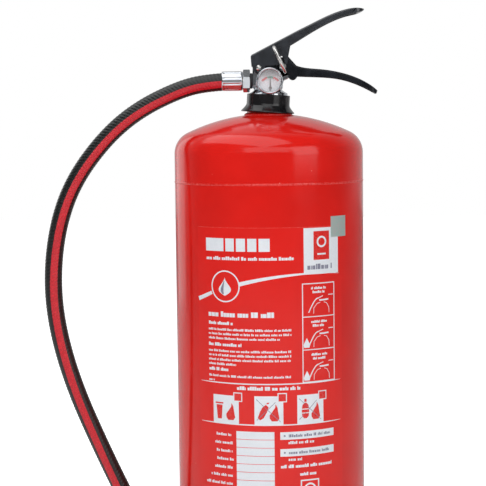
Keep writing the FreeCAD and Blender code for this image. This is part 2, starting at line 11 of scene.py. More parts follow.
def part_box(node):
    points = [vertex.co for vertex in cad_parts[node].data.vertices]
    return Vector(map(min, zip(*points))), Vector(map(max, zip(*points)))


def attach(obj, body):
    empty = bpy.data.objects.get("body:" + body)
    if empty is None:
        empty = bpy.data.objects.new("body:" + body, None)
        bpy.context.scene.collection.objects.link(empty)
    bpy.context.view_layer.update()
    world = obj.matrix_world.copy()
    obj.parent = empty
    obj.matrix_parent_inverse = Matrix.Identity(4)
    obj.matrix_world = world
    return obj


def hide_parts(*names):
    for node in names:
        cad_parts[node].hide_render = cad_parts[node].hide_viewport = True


bl_info = {
    "name": "Water Extinguisher",
    "version": (1, 0, 0),
    "blender": (4, 5, 0),
    "location": "3D View > Sidebar > Extinguisher",
    "description": "Skins, print, hose and finishes for a stored-pressure water extinguisher",
    "category": "Object",
}

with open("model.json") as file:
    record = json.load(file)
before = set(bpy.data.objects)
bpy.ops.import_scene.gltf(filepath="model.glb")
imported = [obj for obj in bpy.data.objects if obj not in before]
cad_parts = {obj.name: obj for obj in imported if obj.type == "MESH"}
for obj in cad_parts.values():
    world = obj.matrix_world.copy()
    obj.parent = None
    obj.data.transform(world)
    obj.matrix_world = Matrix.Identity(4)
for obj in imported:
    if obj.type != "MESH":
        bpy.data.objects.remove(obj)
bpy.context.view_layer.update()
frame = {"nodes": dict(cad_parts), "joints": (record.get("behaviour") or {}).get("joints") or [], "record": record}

MM = 0.001
TAU = 2 * math.pi

# Heights and radii that the frame gives, in metres.
vessel_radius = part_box("barrel_shell")[1].x
barrel_low, barrel_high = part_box("barrel_shell")[0].z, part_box("barrel_shell")[1].z
head_skirt_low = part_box("top_dome")[0].z
head_skirt_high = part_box("bottom_dome")[1].z
bottom_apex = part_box("bottom_dome")[0].z
foot_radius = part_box("foot_ring")[1].x
foot_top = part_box("foot_ring")[1].z
gauge_low, gauge_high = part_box("gauge_case")
gauge_x, gauge_z = (gauge_low.x + gauge_high.x) / 2, (gauge_low.z + gauge_high.z) / 2
needle_pivot = next(Vector(j["pos_m"]) for j in frame["joints"] if j["name"] == "needle_turn")
ring_joint = next(j for j in frame["joints"] if j["name"] == "ring_swing")
outlet_z = (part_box("hose_tail")[0].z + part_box("hose_tail")[1].z) / 2
crown_z = 520 * MM

# The hose's route in the plane y = 0, (x, z) in metres, from the valve to the nozzle.
hose_route = [
    (-0.0280, 0.5512), (-0.0570, 0.5504), (-0.0860, 0.5435), (-0.1260, 0.5240), (-0.1580, 0.4970),
    (-0.1880, 0.4570), (-0.2040, 0.4145), (-0.2105, 0.3635), (-0.2065, 0.3145), (-0.1915, 0.2585),
    (-0.1645, 0.1940), (-0.1335, 0.1280), (-0.1234, 0.0904),
]
nozzle_tip_at = Vector((-0.104, 0, 0.018))
nozzle_lean = math.radians(15)
nozzle_tail = 73 * MM          # the nozzle's tip to the shoulder under its ferrule
ferrule_start = 23.9 * MM      # the valve's axis to the hose ferrule's neck


# ------------------------------------------------------------------ settings

def colour_property(label, about, rgb):
    """A colour that a user may change."""
    return FloatVectorProperty(name=label, description=about, default=rgb, subtype="COLOR",
                               size=3, min=0.0, max=1.0)


def length_property(label, about, metres):
    """A length that a user may change."""
    return FloatProperty(name=label, description=about, default=metres, min=0.0,
                         unit="LENGTH", precision=5)


class VesselSettings(bpy.types.PropertyGroup):
    """Sizes and colours of the welded vessel and its foot."""
    dish_radius: length_property("Dish radius", "Crown radius of the pressed heads", 180 * MM)
    knuckle_radius: length_property("Knuckle radius", "Bend between head and skirt", 22 * MM)
    wall: length_property("Wall", "Thickness of the sheet steel", 1.6 * MM)
    bead: length_property("Weld bead", "Height of the girth welds", 0.35 * MM)
    paint: colour_property("Paint", "Gloss coat of the vessel", (0.70, 0.010, 0.006))
    foot: colour_property("Foot", "Moulded foot and nozzle pocket", (0.012, 0.012, 0.013))


class LabelSettings(bpy.types.PropertyGroup):
    """Sizes and colours of the printed sleeve label."""
    film: length_property("Film", "Thickness of the printed film", 0.15 * MM)
    ink_lift: length_property("Ink", "Thickness of a printed layer", 0.03 * MM)
    ground: colour_property("Ground", "Printed ground of the label", (0.72, 0.011, 0.007))
    ink: colour_property("Ink", "Light print", (0.80, 0.83, 0.88))
    grey: colour_property("Grey ink", "Dark print on light fields", (0.22, 0.22, 0.30))
    foil: colour_property("Foil", "Metallised control sticker", (0.52, 0.55, 0.53))


class ValveSettings(bpy.types.PropertyGroup):
    """Finishes of the valve, grips and gauge."""
    plating: colour_property("Plating", "Bright plated brass", (0.66, 0.69, 0.73))
    coat: colour_property("Grip coat", "Powder coat of lever and handle", (0.008, 0.010, 0.014))
    collar: colour_property("Collar", "Glossy moulded neck collar", (0.006, 0.006, 0.007))
    casting_edge: length_property("Casting edge", "Rounding of the valve's edges", 0.5 * MM)
    press_edge: length_property("Pressed edge", "Rounding of the grips' upper edges", 1.6 * MM)


class HoseSettings(bpy.types.PropertyGroup):
    """Sizes and colours of the hose."""
    radius: length_property("Radius", "Outside of the hose", 8.5 * MM)
    groove_pitch: length_property("Groove pitch", "Distance between the cover's grooves", 3.4 * MM)
    groove_depth: length_property("Groove depth", "Depth of the cover's grooves", 0.28 * MM)
    rubber: colour_property("Rubber", "Cover of the hose", (0.004, 0.005, 0.005))
    stripe: colour_property("Stripe", "Lengthwise stripe", (0.70, 0.012, 0.026))


class StageSettings(bpy.types.PropertyGroup):
    """Floor and light."""
    floor: colour_property("Floor", "Pale floor", (0.93, 0.93, 0.93))
    surround: FloatProperty(name="Surround", description="Brightness of the pale surround",
                            default=1.0, min=0.0)


SETTINGS = {
    "vessel_settings": VesselSettings,
    "label_settings": LabelSettings,
    "valve_settings": ValveSettings,
    "hose_settings": HoseSettings,
    "stage_settings": StageSettings,
}


# ------------------------------------------------------------------ surfaces

def grid_faces(rows, columns, wrap_rows=False, wrap_columns=False):
    """Quads of a grid of points, row after row; a wrapped direction joins its last line to its first."""
    i, j = np.meshgrid(np.arange(rows if wrap_rows else rows - 1),
                       np.arange(columns if wrap_columns else columns - 1), indexing="ij")
    down, right = (i + 1) % rows, (j + 1) % columns
    corners = [i * columns + j, down * columns + j, down * columns + right, i * columns + right]
    return np.stack(corners, -1).reshape(-1, 4)


def outward(points, quads):
    """The quads, turned round if the signed volume they enclose is below zero."""
    a, b, c, d = (points[quads[:, k]] for k in range(4))
    volume = np.sum(a * np.cross(b, c)) + np.sum(a * np.cross(c, d))
    return quads if volume > 0 else quads[:, ::-1]


def make_piece(name, points, quads, uv=None, merge=False, sharp=40.0, weighted=False):
    """An object with its place in its mesh, from whole arrays of points, quads and point UVs."""
    points = np.asarray(points, float).reshape(-1, 3)
    quads = outward(points, quads)
    mesh = bpy.data.meshes.new(name)
    mesh.from_pydata(points.tolist(), [], quads.tolist())
    if uv is not None:
        layer = mesh.uv_layers.new(name="UVMap")
        layer.data.foreach_set("uv", np.asarray(uv, float).reshape(-1, 2)[quads.ravel()].ravel())
    if merge:
        work = bmesh.new()
        work.from_mesh(mesh)
        bmesh.ops.remove_doubles(work, verts=work.verts, dist=1e-7)
        bmesh.ops.dissolve_degenerate(work, edges=work.edges, dist=1e-8)
        work.to_mesh(mesh)
        work.free()
    mesh.shade_smooth()
    mesh.set_sharp_from_angle(angle=math.radians(sharp))
    piece = bpy.data.objects.new(name, mesh)
    bpy.context.scene.collection.objects.link(piece)
    if weighted:
        piece.modifiers.new("Even shading", "WEIGHTED_NORMAL").keep_sharp = True
    return piece


def eased(outline, closed=True, steps=6):
    """An outline of (radius, height, ease) corners in mm; each corner is a quadratic curve whose
    ends lie its ease away along both sides. Returns (radius, height) in metres."""
    corners = np.array([p[:2] for p in outline], float) * MM
    eases = [p[2] * MM if len(p) > 2 else 0.0 for p in outline]
    count, result = len(outline), []
    t = np.linspace(0, 1, steps)[:, None]
    for k, (corner, ease) in enumerate(zip(corners, eases)):
        if ease == 0 or (not closed and k in (0, count - 1)):
            result.append(corner[None])
            continue
        before, after = corners[k - 1] - corner, corners[(k + 1) % count] - corner
        start = corner + before / np.linalg.norm(before) * ease
        end = corner + after / np.linalg.norm(after) * ease
        result.append((1 - t) ** 2 * start + 2 * t * (1 - t) * corner + t ** 2 * end)
    return np.concatenate(result)


def revolve(outline, segments=128, closed=True):
    """Points and quads of an outline turned about Z: x = r cos a, y = r sin a, z = height."""
    angle = np.arange(segments) * TAU / segments
    radius, height = outline[:, :1], outline[:, 1:]
    points = np.stack([radius * np.cos(angle), radius * np.sin(angle),
                       height + 0 * angle], -1)
    return points, grid_faces(len(outline), segments, closed, True)


def moved(points, matrix):
    """All points through a 4 by 4 matrix."""
    table = np.array(matrix)
    return points @ table[:3, :3].T + table[:3, 3]


facing_gauge = Matrix.Translation((gauge_x, 0, gauge_z)) @ Matrix.Rotation(math.pi / 2, 4, "X")
along_outlet = Matrix.Translation((0, 0, outlet_z)) @ Matrix.Rotation(-math.pi / 2, 4, "Y")
along_nozzle = Matrix.Translation(nozzle_tip_at) @ Matrix.Rotation(-nozzle_lean, 4, "Y")


def turned_piece(name, outline, place=None, segments=128, closed=True, steps=6):
    """A turned part: an eased outline revolved about Z, then put on its own axis."""
    points, quads = revolve(eased(outline, closed, steps), segments, closed)
    if place is not None:
        points = moved(points, place)
    return make_piece(name, points, quads, merge=not closed, weighted=True)


def eased_copy(name, node, width, flank=1.0, sharp_box=((0, 0), (0, 0)), steps=3, flat=0.4):
    """The node's own shape with its loose triangles merged, flat faces joined and edges rounded by
    the width; edges at its tip, or not at the top of its two outermost sides, get the flank share
    of it, and those between the two (x, z) corners of sharp_box none."""
    work = bmesh.new()
    work.from_mesh(frame["nodes"][node].data)
    bmesh.ops.remove_doubles(work, verts=work.verts, dist=1e-6)
    bmesh.ops.dissolve_limit(work, angle_limit=math.radians(flat), verts=work.verts,
                             edges=work.edges, delimit={"NORMAL"})
    upper = np.array([max(face.normal.z for face in edge.link_faces) > 0.4 for edge in work.edges])
    mesh = bpy.data.meshes.new(name)
    work.to_mesh(mesh)
    work.free()
    mesh.shade_smooth()
    mesh.set_sharp_from_angle(angle=math.radians(30))
    piece = bpy.data.objects.new(name, mesh)
    bpy.context.scene.collection.objects.link(piece)
    corner = np.zeros(len(mesh.vertices) * 3)
    mesh.vertices.foreach_get("co", corner)
    ends = np.zeros(len(mesh.edges) * 2, int)
    mesh.edges.foreach_get("vertices", ends)
    side = np.abs(corner.reshape(-1, 3)[ends, 1]).reshape(-1, 2).min(1)
    sharp = np.zeros(len(mesh.edges), bool)
    mesh.attributes["sharp_edge"].data.foreach_get("value", sharp)
    reach = corner.reshape(-1, 3)[ends, 0].reshape(-1, 2).max(1)
    full = np.clip((reach.max() - reach) / (12 * MM) - 0.7, 0, 1) * (1 - flank) + flank
    middle = corner.reshape(-1, 3)[ends].reshape(-1, 2, 3).mean(1)
    kept = np.all((middle[:, [0, 2]] > sharp_box[0]) & (middle[:, [0, 2]] < sharp_box[1]), axis=1)
    weight = np.where(upper & (side > side.max() - 1e-5), full, flank) * sharp * ~kept
    mesh.attributes.new("bevel_weight_edge", "FLOAT", "EDGE").data.foreach_set("value", weight)
    bevel = piece.modifiers.new("Rounded edges", "BEVEL")
    bevel.width = width
    bevel.segments = steps
    bevel.limit_method = "WEIGHT"
    bevel.use_clamp_overlap = False
    piece.modifiers.new("Even shading", "WEIGHTED_NORMAL").keep_sharp = False
    return piece


def fit(piece, body, slot, material, *nodes):
    """Gives a piece its body and material, and hides the nodes that it stands for; the slot is not used."""
    piece.data.materials.clear()
    piece.data.materials.append(material)
    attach(piece, body)
    if nodes:
        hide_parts(*nodes)
    return piece


# ------------------------------------------------------------------ materials

class Finish:
    """A material being built. Each method adds one node and returns its output."""

    def __init__(self, name, **sockets):
        self.material = bpy.data.materials.new(name)
        self.material.use_nodes = True
        self.tree = self.material.node_tree
        self.shader = self.tree.nodes["Principled BSDF"]
        # A socket's name is its keyword in title case, with IOR in capitals.
        for key, value in sockets.items():
            self.shader.inputs[key.replace("_", " ").title().replace("Ior", "IOR")].default_value = value

    def add(self, kind, output, settings=(), **links):
        """A node with its settings; a link's key is a socket's name, or i and its number."""
        node = self.tree.nodes.new(kind)
        for key, value in dict(settings).items():
            setattr(node, key, value)
        for key, value in links.items():
            socket = node.inputs[int(key[1:]) if key[1:].isdigit() else key]
            if isinstance(value, bpy.types.NodeSocket):
                self.tree.links.new(value, socket)
            else:
                socket.default_value = value
        return node.outputs[output]

    def place(self, scale=(1, 1, 1), turn=(0, 0, 0), source="Object"):
        """Object or UV coordinates, scaled and turned."""
        coordinates = self.add("ShaderNodeTexCoord", source)
        return self.add("ShaderNodeMapping", 0, Vector=coordinates, Scale=scale, Rotation=turn)

    def noise(self, where, scale, detail=3.0, rough=0.5):
        """Cloudy noise from 0 to 1."""
        return self.add("ShaderNodeTexNoise", 0, Vector=where, Scale=scale, Detail=detail,
                        Roughness=rough)

    def cells(self, where, scale):
        """Distance to the nearest of a scatter of points."""
        return self.add("ShaderNodeTexVoronoi", 0, Vector=where, Scale=scale)

    def calc(self, operation, a, b=0.0):
        """One step of arithmetic."""
        return self.add("ShaderNodeMath", 0, {"operation": operation}, i0=a, i1=b)

    def span(self, value, low, high, to_low=0.0, to_high=1.0):
        """A smooth step from to_low to to_high while the value goes from low to high."""
        return self.add("ShaderNodeMapRange", 0, {"interpolation_type": "SMOOTHSTEP"}, i0=value,
                        i1=low, i2=high, i3=to_low, i4=to_high)

    def blend(self, share, first, second):
        """The first colour, mixed with a share of the second."""
        first, second = (c if isinstance(c, bpy.types.NodeSocket) or len(c) == 4 else (*c, 1)
                         for c in (first, second))
        return self.add("ShaderNodeMix", 2, {"data_type": "RGBA"}, i0=share, i6=first, i7=second)

    def relief(self, height, strength, depth):
        """A bump from a height, linked to the shader."""
        bump = self.add("ShaderNodeBump", 0, Height=height, Strength=strength, Distance=depth)
        self.tree.links.new(bump, self.shader.inputs["Normal"])

    def set(self, socket, value):
        """A link into one of the shader's sockets."""
        self.tree.links.new(value, self.shader.inputs[socket])


def shade(rgb, amount):
    """A colour scaled towards black or white."""
    return tuple(min(1.0, c * amount) for c in rgb)


def gloss_paint(name, rgb):
    """Stoved gloss paint: slight cloudiness, orange peel, and a few pale specks of dust."""
    f = Finish(name, specular_ior_level=0.45)
    where = f.place()
    cloud = f.noise(where, 14, 4)
    colour = f.blend(f.span(cloud, 0.3, 0.7), shade(rgb, 0.94), shade(rgb, 1.06))
    speck = f.span(f.cells(where, 95), 0.035, 0.05, 1.0, 0.0)
    few = f.span(f.noise(where, 21, 1), 0.60, 0.62)
    dust = f.calc("MULTIPLY", f.calc("MULTIPLY", speck, few), 0.55)
    colour = f.blend(dust, colour, (0.9, 0.42, 0.36))
    f.set("Base Color", colour)
    f.set("Roughness", f.span(f.noise(where, 60, 3), 0.2, 0.8, 0.10, 0.17))
    f.relief(f.noise(where, 420, 2), 0.05, 0.0004)
    return f.material


def weld_paint(name, rgb):
    """Paint over a weld: duller on the ripples, and paler where it is thin on their crests."""
    f = Finish(name, coat_weight=0.4, coat_roughness=0.08)
    where = f.place()
    thin = f.span(f.noise(where, 240, 4, 0.7), 0.45, 0.75)
    f.set("Base Color", f.blend(thin, rgb, (0.80, 0.06, 0.045)))
    f.set("Roughness", f.span(f.noise(where, 500, 2), 0.2, 0.8, 0.2, 0.4))
    f.relief(f.noise(where, 900, 3), 0.3, 0.0002)
    return f.material


def plated_metal(name, rgb, rough=(0.06, 0.15), casting=0.25):
    """Bright plating: faint casting waves under it, wiping haze and small scratches."""
    f = Finish(name, metallic=1.0)
    where = f.place()
    haze = f.noise(where, 90, 5, 0.6)
    f.set("Base Color", f.blend(f.span(haze, 0.3, 0.75), rgb, shade(rgb, 0.88)))
    scratch = f.noise(f.place((40, 900, 300), (0.3, 0.5, 0.2)), 1.0, 2)
    worn = f.calc("ADD", f.span(haze, 0.25, 0.8, *rough), f.span(scratch, 0.62, 0.72, 0.0, 0.06))
    f.set("Roughness", worn)
    f.relief(f.noise(where, 260, 2), casting, 0.0003)
    return f.material


def drawn_steel(name, rgb):
    """Bright drawn wire and rivets: fine marks along the draw and a soft mottled haze."""
    f = Finish(name, metallic=1.0)
    where = f.place()
    marks = f.noise(f.place((1600, 200, 1600)), 1.0, 3)
    f.set("Base Color", f.blend(f.span(f.noise(where, 300, 3), 0.3, 0.7), rgb, shade(rgb, 0.8)))
    f.set("Roughness", f.span(marks, 0.3, 0.7, 0.16, 0.34))
    f.relief(marks, 0.15, 0.0001)
    return f.material


def powder_coat(name, rgb, gloss=1.0):
    """Satin powder coat: fine peel, dull rubbed patches and a few chips down to bright steel."""
    f = Finish(name, coat_weight=0.8 * gloss, coat_roughness=0.14, specular_ior_level=0.5 * gloss)
    where = f.place()
    rub = f.noise(where, 70, 5, 0.6)
    chip = f.calc("MULTIPLY", f.span(f.cells(where, 260), 0.05, 0.09, 1.0, 0.0),
                  f.span(f.noise(where, 60, 1), 0.66, 0.70))
    colour = f.blend(f.span(rub, 0.35, 0.75), rgb, shade(rgb, 2.2))
    f.set("Base Color", f.blend(chip, colour, (0.32, 0.33, 0.34)))
    f.set("Roughness", f.span(rub, 0.3, 0.75, 0.26, 0.42))
    f.relief(f.noise(where, 1500, 2), 0.12, 0.00012)
    return f.material


def moulded_plastic(name, rgb, rough=(0.10, 0.18), grain=2200, depth=0.04):
    """Moulded plastic: tool grain, flow clouds and light scuffs."""
    f = Finish(name)
    where = f.place()
    flow = f.noise(where, 45, 5, 0.6)
    scuff = f.span(f.noise(f.place((300, 300, 60), (0.4, 0.2, 0)), 1.0, 3), 0.64, 0.74)
    colour = f.blend(f.span(flow, 0.3, 0.75), rgb, shade(rgb, 1.7))
    f.set("Base Color", f.blend(f.calc("MULTIPLY", scuff, 0.25), colour, (0.16, 0.16, 0.165)))
    f.set("Roughness", f.calc("ADD", f.span(flow, 0.3, 0.75, *rough),
                              f.calc("MULTIPLY", scuff, 0.12)))
    f.relief(f.noise(where, grain, 2), depth, 0.0002)
    return f.material


def seal_rubber(name):
    """Moulded rubber: a pale bloom in patches, duller where it lies."""
    f = Finish(name)
    where = f.place()
    bloom = f.noise(where, 160, 4)
    f.set("Base Color", f.blend(f.span(bloom, 0.4, 0.8), (0.012, 0.012, 0.014), (0.05, 0.05, 0.055)))
    f.set("Roughness", f.span(bloom, 0.3, 0.7, 0.45, 0.65))
    f.relief(f.noise(where, 1800, 2), 0.2, 0.0001)
    return f.material


def turned_brass(name, rgb):
    """Turned brass: fine tool marks along its height and brown tarnish in patches."""
    f = Finish(name, metallic=1.0)
    where = f.place()
    tarnish = f.noise(where, 120, 5, 0.6)
    f.set("Base Color", f.blend(f.span(tarnish, 0.4, 0.75), rgb, (0.40, 0.26, 0.11)))
    f.set("Roughness", f.span(tarnish, 0.3, 0.75, 0.18, 0.42))
    f.relief(f.noise(f.place((200, 200, 5000)), 1.0, 2), 0.1, 0.0001)
    return f.material


def printed_ground(name, rgb):
    """Gloss film over the printed ground: smoother than the paint, with a faint dot screen."""
    f = Finish(name, specular_ior_level=0.45)
    where = f.place()
    screen = f.cells(where, 2400)
    colour = f.blend(f.span(f.noise(where, 25, 3), 0.3, 0.7), rgb, shade(rgb, 1.05))
    f.set("Base Color", f.blend(f.span(screen, 0.1, 0.5, 0.10, 0.0), colour, shade(rgb, 0.75)))
    f.set("Roughness", f.span(f.noise(where, 120, 3), 0.2, 0.8, 0.13, 0.20))
    f.relief(f.noise(where, 180, 2), 0.03, 0.0004)
    return f.material


def printed_ink(name, rgb, worn=(0.72, 0.10, 0.08)):
    """Screen ink: slightly uneven cover, with pinholes that show the ground."""
    f = Finish(name, coat_weight=0.4, coat_roughness=0.08)
    where = f.place()
    cover = f.noise(where, 220, 4, 0.6)
    colour = f.blend(f.span(cover, 0.3, 0.7), rgb, shade(rgb, 0.93))
    pin = f.span(f.cells(where, 900), 0.04, 0.08, 0.6, 0.0)
    f.set("Base Color", f.blend(f.calc("MULTIPLY", pin, f.span(cover, 0.5, 0.6)), colour, worn))
    f.set("Roughness", f.span(cover, 0.3, 0.7, 0.22, 0.34))
    f.relief(cover, 0.05, 0.0001)
    return f.material


def foil_sticker(name, rgb):
    """Metallised film with a fine diffraction grain that drifts between grey and green."""
    f = Finish(name, metallic=0.55)
    where = f.place()
    drift = f.noise(where, 260, 3)
    colour = f.blend(f.span(drift, 0.35, 0.65), rgb, (rgb[0] * 0.85, rgb[1] * 1.05, rgb[2] * 1.02))
    f.set("Base Color", colour)
    f.set("Roughness", f.span(f.cells(where, 1500), 0.0, 0.6, 0.32, 0.5))
    f.relief(f.cells(where, 1500), 0.08, 0.0001)
    return f.material


def striped_hose(name, rubber, stripe, half_width):
    """Fabric-wrapped rubber: UV's u is the turn from the stripe's middle, v the length in metres."""
    f = Finish(name, specular_ior_level=0.6)
    parts = f.tree.nodes.new("ShaderNodeSeparateXYZ")
    f.tree.links.new(f.add("ShaderNodeTexCoord", "UV"), parts.inputs[0])
    turn = f.calc("ABSOLUTE", f.calc("SUBTRACT", parts.outputs[0], 0.5))
    where = f.place()
    frayed = f.calc("MULTIPLY", f.calc("SUBTRACT", f.noise(where, 700, 2), 0.5), 0.012)
    edge = f.calc("ADD", turn, frayed)
    inside = f.span(edge, half_width - 0.004, half_width + 0.004, 1.0, 0.0)
    weave = f.noise(f.place((14, 900, 1), source="UV"), 1.0, 2)
    dots = f.cells(f.place((60, 1150, 1), source="UV"), 1.0)
    red = f.blend(f.span(dots, 0.1, 0.55), shade(stripe, 1.25), shade(stripe, 0.72))
    black = f.blend(f.span(weave, 0.3, 0.7), shade(rubber, 0.7), shade(rubber, 1.8))
    f.set("Base Color", f.blend(inside, black, red))
    f.set("Roughness", f.span(weave, 0.3, 0.7, 0.30, 0.44))
    f.relief(f.calc("ADD", weave, f.calc("MULTIPLY", dots, 0.4)), 0.25, 0.0002)
    return f.material


def dial_enamel(name):
    """Printed dial plate, white, with painted shade that darkens it to grey above its pointer's spindle, standing
    for the bezel's shadow.
    """
    f = Finish(name)
    where = f.place()
    parts = f.tree.nodes.new("ShaderNodeSeparateXYZ")
    f.tree.links.new(where, parts.inputs[0])
    # Painted shade: over 8 mm above the spindle the dial turns dark grey, for the bezel's shadow.
    upper = f.span(parts.outputs[2], gauge_z, gauge_z + 0.008)
    base = f.blend(upper, (0.84, 0.85, 0.90), (0.22, 0.23, 0.25))
    f.set("Base Color", f.blend(f.span(f.noise(where, 900, 3), 0.4, 0.8, 0, 0.15), base, (0.6, 0.6, 0.6)))
    f.set("Roughness", f.span(f.noise(where, 500, 2), 0.2, 0.8, 0.30, 0.45))
    return f.material


def clear_window(name):
    """Clear plastic window with a few wiping marks."""
    f = Finish(name, base_color=(0.95, 0.97, 0.98, 1), alpha=0.14, coat_weight=1.0, coat_roughness=0.02)
    marks = f.noise(f.place((900, 200, 200), (0, 0.6, 0)), 1.0, 3)
    f.set("Roughness", f.span(marks, 0.5, 0.75, 0.03, 0.16))
    return f.material


def make_finishes(scene):
    """Every finish, by the name of its slot in the record, and the inks."""
    vessel, label, valve = scene.vessel_settings, scene.label_settings, scene.valve_settings
    hose = scene.hose_settings
    return {
        "red_paint": gloss_paint("Red vessel paint", tuple(vessel.paint)),
        "weld_paint": weld_paint("Paint over weld", tuple(vessel.paint)),
        "black_paint": powder_coat("Black grip coat", tuple(valve.coat)),
        # Painted shade: the handle wears the lever's grip coat darkened to 0.6 and made duller, a shaded copy of
        # the same coat.
        "shaded_handle_coat": powder_coat("Handle coat with painted shade", shade(valve.coat, 0.6), 0.3),
        "chrome_plate": plated_metal("Bright plating", tuple(valve.plating)),
        "bright_steel": drawn_steel("Drawn steel", (0.78, 0.77, 0.75)),
        "crimp_steel": plated_metal("Crimped sleeve plating", (0.72, 0.75, 0.80), (0.14, 0.24), 0.06),
        "gland_brass": turned_brass("Turned brass", (0.80, 0.60, 0.28)),
        "collar_plastic": moulded_plastic("Glossy collar moulding", tuple(valve.collar), (0.16, 0.24)),
        "foot_plastic": moulded_plastic("Foot moulding", tuple(vessel.foot), (0.34, 0.48), 1500, 0.35),
        "nozzle_plastic": moulded_plastic("Nozzle moulding", (0.012, 0.012, 0.013), (0.28, 0.4), 1800, 0.2),
        "siphon_plastic": moulded_plastic("Siphon tube plastic", (0.62, 0.62, 0.58), (0.3, 0.4)),
        "seal_rubber": seal_rubber("Seal rubber"),
        "hose_rubber": striped_hose("Striped hose cover", tuple(hose.rubber), tuple(hose.stripe), 0.068),
        "printed_film": printed_ground("Label ground", tuple(label.ground)),
        "silver_foil": foil_sticker("Control foil", tuple(label.foil)),
        "dial_face": dial_enamel("Dial plate with painted shade"),
        "needle_paint": powder_coat("Needle paint", (0.01, 0.01, 0.012)),
        "clear_window": clear_window("Gauge window"),
        "light_ink": printed_ink("Light ink", tuple(label.ink)),
        "ground_ink": printed_ink("Red ink", tuple(label.ground), (0.8, 0.8, 0.8)),
        "film_edge": printed_ink("Film edge", (0.80, 0.055, 0.045), (0.8, 0.3, 0.3)),
        "grey_ink": printed_ink("Grey ink", tuple(label.grey), (0.7, 0.7, 0.75)),
        "scale_red": printed_ink("Scale red", (0.62, 0.03, 0.04), (0.8, 0.8, 0.8)),
        "scale_green": printed_ink("Scale green", (0.05, 0.26, 0.16), (0.8, 0.8, 0.8)),
        "scale_black": printed_ink("Scale black", (0.02, 0.02, 0.03), (0.4, 0.4, 0.4)),
    }


finishes = {}


# ------------------------------------------------------------------ stage

def build_stage(scene):
    """A pale surround that is darker to light from the front, a floor, five softboxes, a camera."""
    settings = scene.stage_settings
    world = bpy.data.worlds.new("Pale surround")
    scene.world = world
    world.use_nodes = True
    tree = world.node_tree
    ground = tree.nodes["Background"]
    position = tree.nodes.new("ShaderNodeTexCoord")
    parts = tree.nodes.new("ShaderNodeSeparateXYZ")
    tree.links.new(position.outputs["Generated"], parts.inputs[0])
    front = tree.nodes.new("ShaderNodeMapRange")
    front.interpolation_type = "SMOOTHSTEP"
    front_strength, back_strength = 0.13, 0.55
    for index, value in ((1, 0.0), (2, 0.8), (3, front_strength), (4, back_strength)):
        front.inputs[index].default_value = value
    tree.links.new(parts.outputs[1], front.inputs[0])
    seen = tree.nodes.new("ShaderNodeLightPath")
    pick = tree.nodes.new("ShaderNodeMix")
    tree.links.new(seen.outputs["Is Camera Ray"], pick.inputs[0])
    tree.links.new(front.outputs[0], pick.inputs[2])
    pick.inputs[3].default_value = 1.0
    tree.links.new(pick.outputs[0], ground.inputs["Strength"])
    ground.inputs["Color"].default_value = (settings.surround, settings.surround, settings.surround, 1)

    side = 6.0
    mesh = bpy.data.meshes.new("floor")
    mesh.from_pydata([(-side, -side, 0), (side, -side, 0), (side, side, 0), (-side, side, 0)], [],
                     [(0, 1, 2, 3)])
    floor = bpy.data.objects.new("floor", mesh)
    scene.collection.objects.link(floor)
    f = Finish("Pale floor", roughness=0.8, emission_color=(1, 1, 1, 1))
    f.set("Emission Strength", f.calc("MULTIPLY", f.add("ShaderNodeLightPath", "Is Camera Ray"), 0.9))
    f.set("Base Color", f.blend(f.noise(f.place(), 3.0), tuple(settings.floor),
                                shade(settings.floor, 0.98)))
    mesh.materials.append(f.material)

    lamps = [
        # name, place, point it faces, size, watts
        ("key softbox", (-1.1, -2.3, 1.7), (0, 0, 0.35), (1.8, 1.8), 22.0),
        ("front softbox", (-0.1, -2.4, 1.6), (0, 0, 0.5), (2.6, 1.1), 12.0),
        ("fill softbox", (1.7, -1.7, 1.2), (0, 0, 0.35), (1.4, 1.6), 14.0),
        ("top softbox", (-0.5, -0.35, 2.1), (0, 0, 0.3), (3.0, 1.4), 22.0),
        ("back left softbox", (-1.8, 1.9, 0.8), (0, 0, 0.4), (1.3, 2.2), 6.5),
    ]
    for name, place, target, size, power in lamps:
        data = bpy.data.lights.new(name, "AREA")
        data.shape = "RECTANGLE"
        data.size, data.size_y = size
        data.energy = power
        lamp = bpy.data.objects.new(name, data)
        lamp.location = place
        heading = Vector(target) - Vector(place)
        lamp.rotation_euler = heading.to_track_quat("-Z", "Y").to_euler()
        lamp.visible_glossy = name != "key softbox"
        scene.collection.objects.link(lamp)

    data = bpy.data.cameras.new("camera")
    data.lens = 110.44
    data.sensor_width = 36.0
    camera = bpy.data.objects.new("camera", data)
    yaw, pitch, roll = (math.radians(a) for a in (-1.02, 4.95, -0.64))
    forward = Vector((math.sin(yaw) * math.cos(pitch), math.cos(yaw) * math.cos(pitch), -math.sin(pitch)))
    level = Vector((math.cos(yaw), -math.sin(yaw), 0))
    raised = level.cross(forward)
    across = math.cos(roll) * level + math.sin(roll) * raised
    up = -math.sin(roll) * level + math.cos(roll) * raised
    turn = Matrix((across, up, -forward)).transposed()
    camera.matrix_world = Matrix.Translation((0, -1.430, 0.520)) @ turn.to_4x4()
    scene.collection.objects.link(camera)
    scene.camera = camera
    scene.view_settings.view_transform = "Standard"


# ------------------------------------------------------------------ vessel and foot

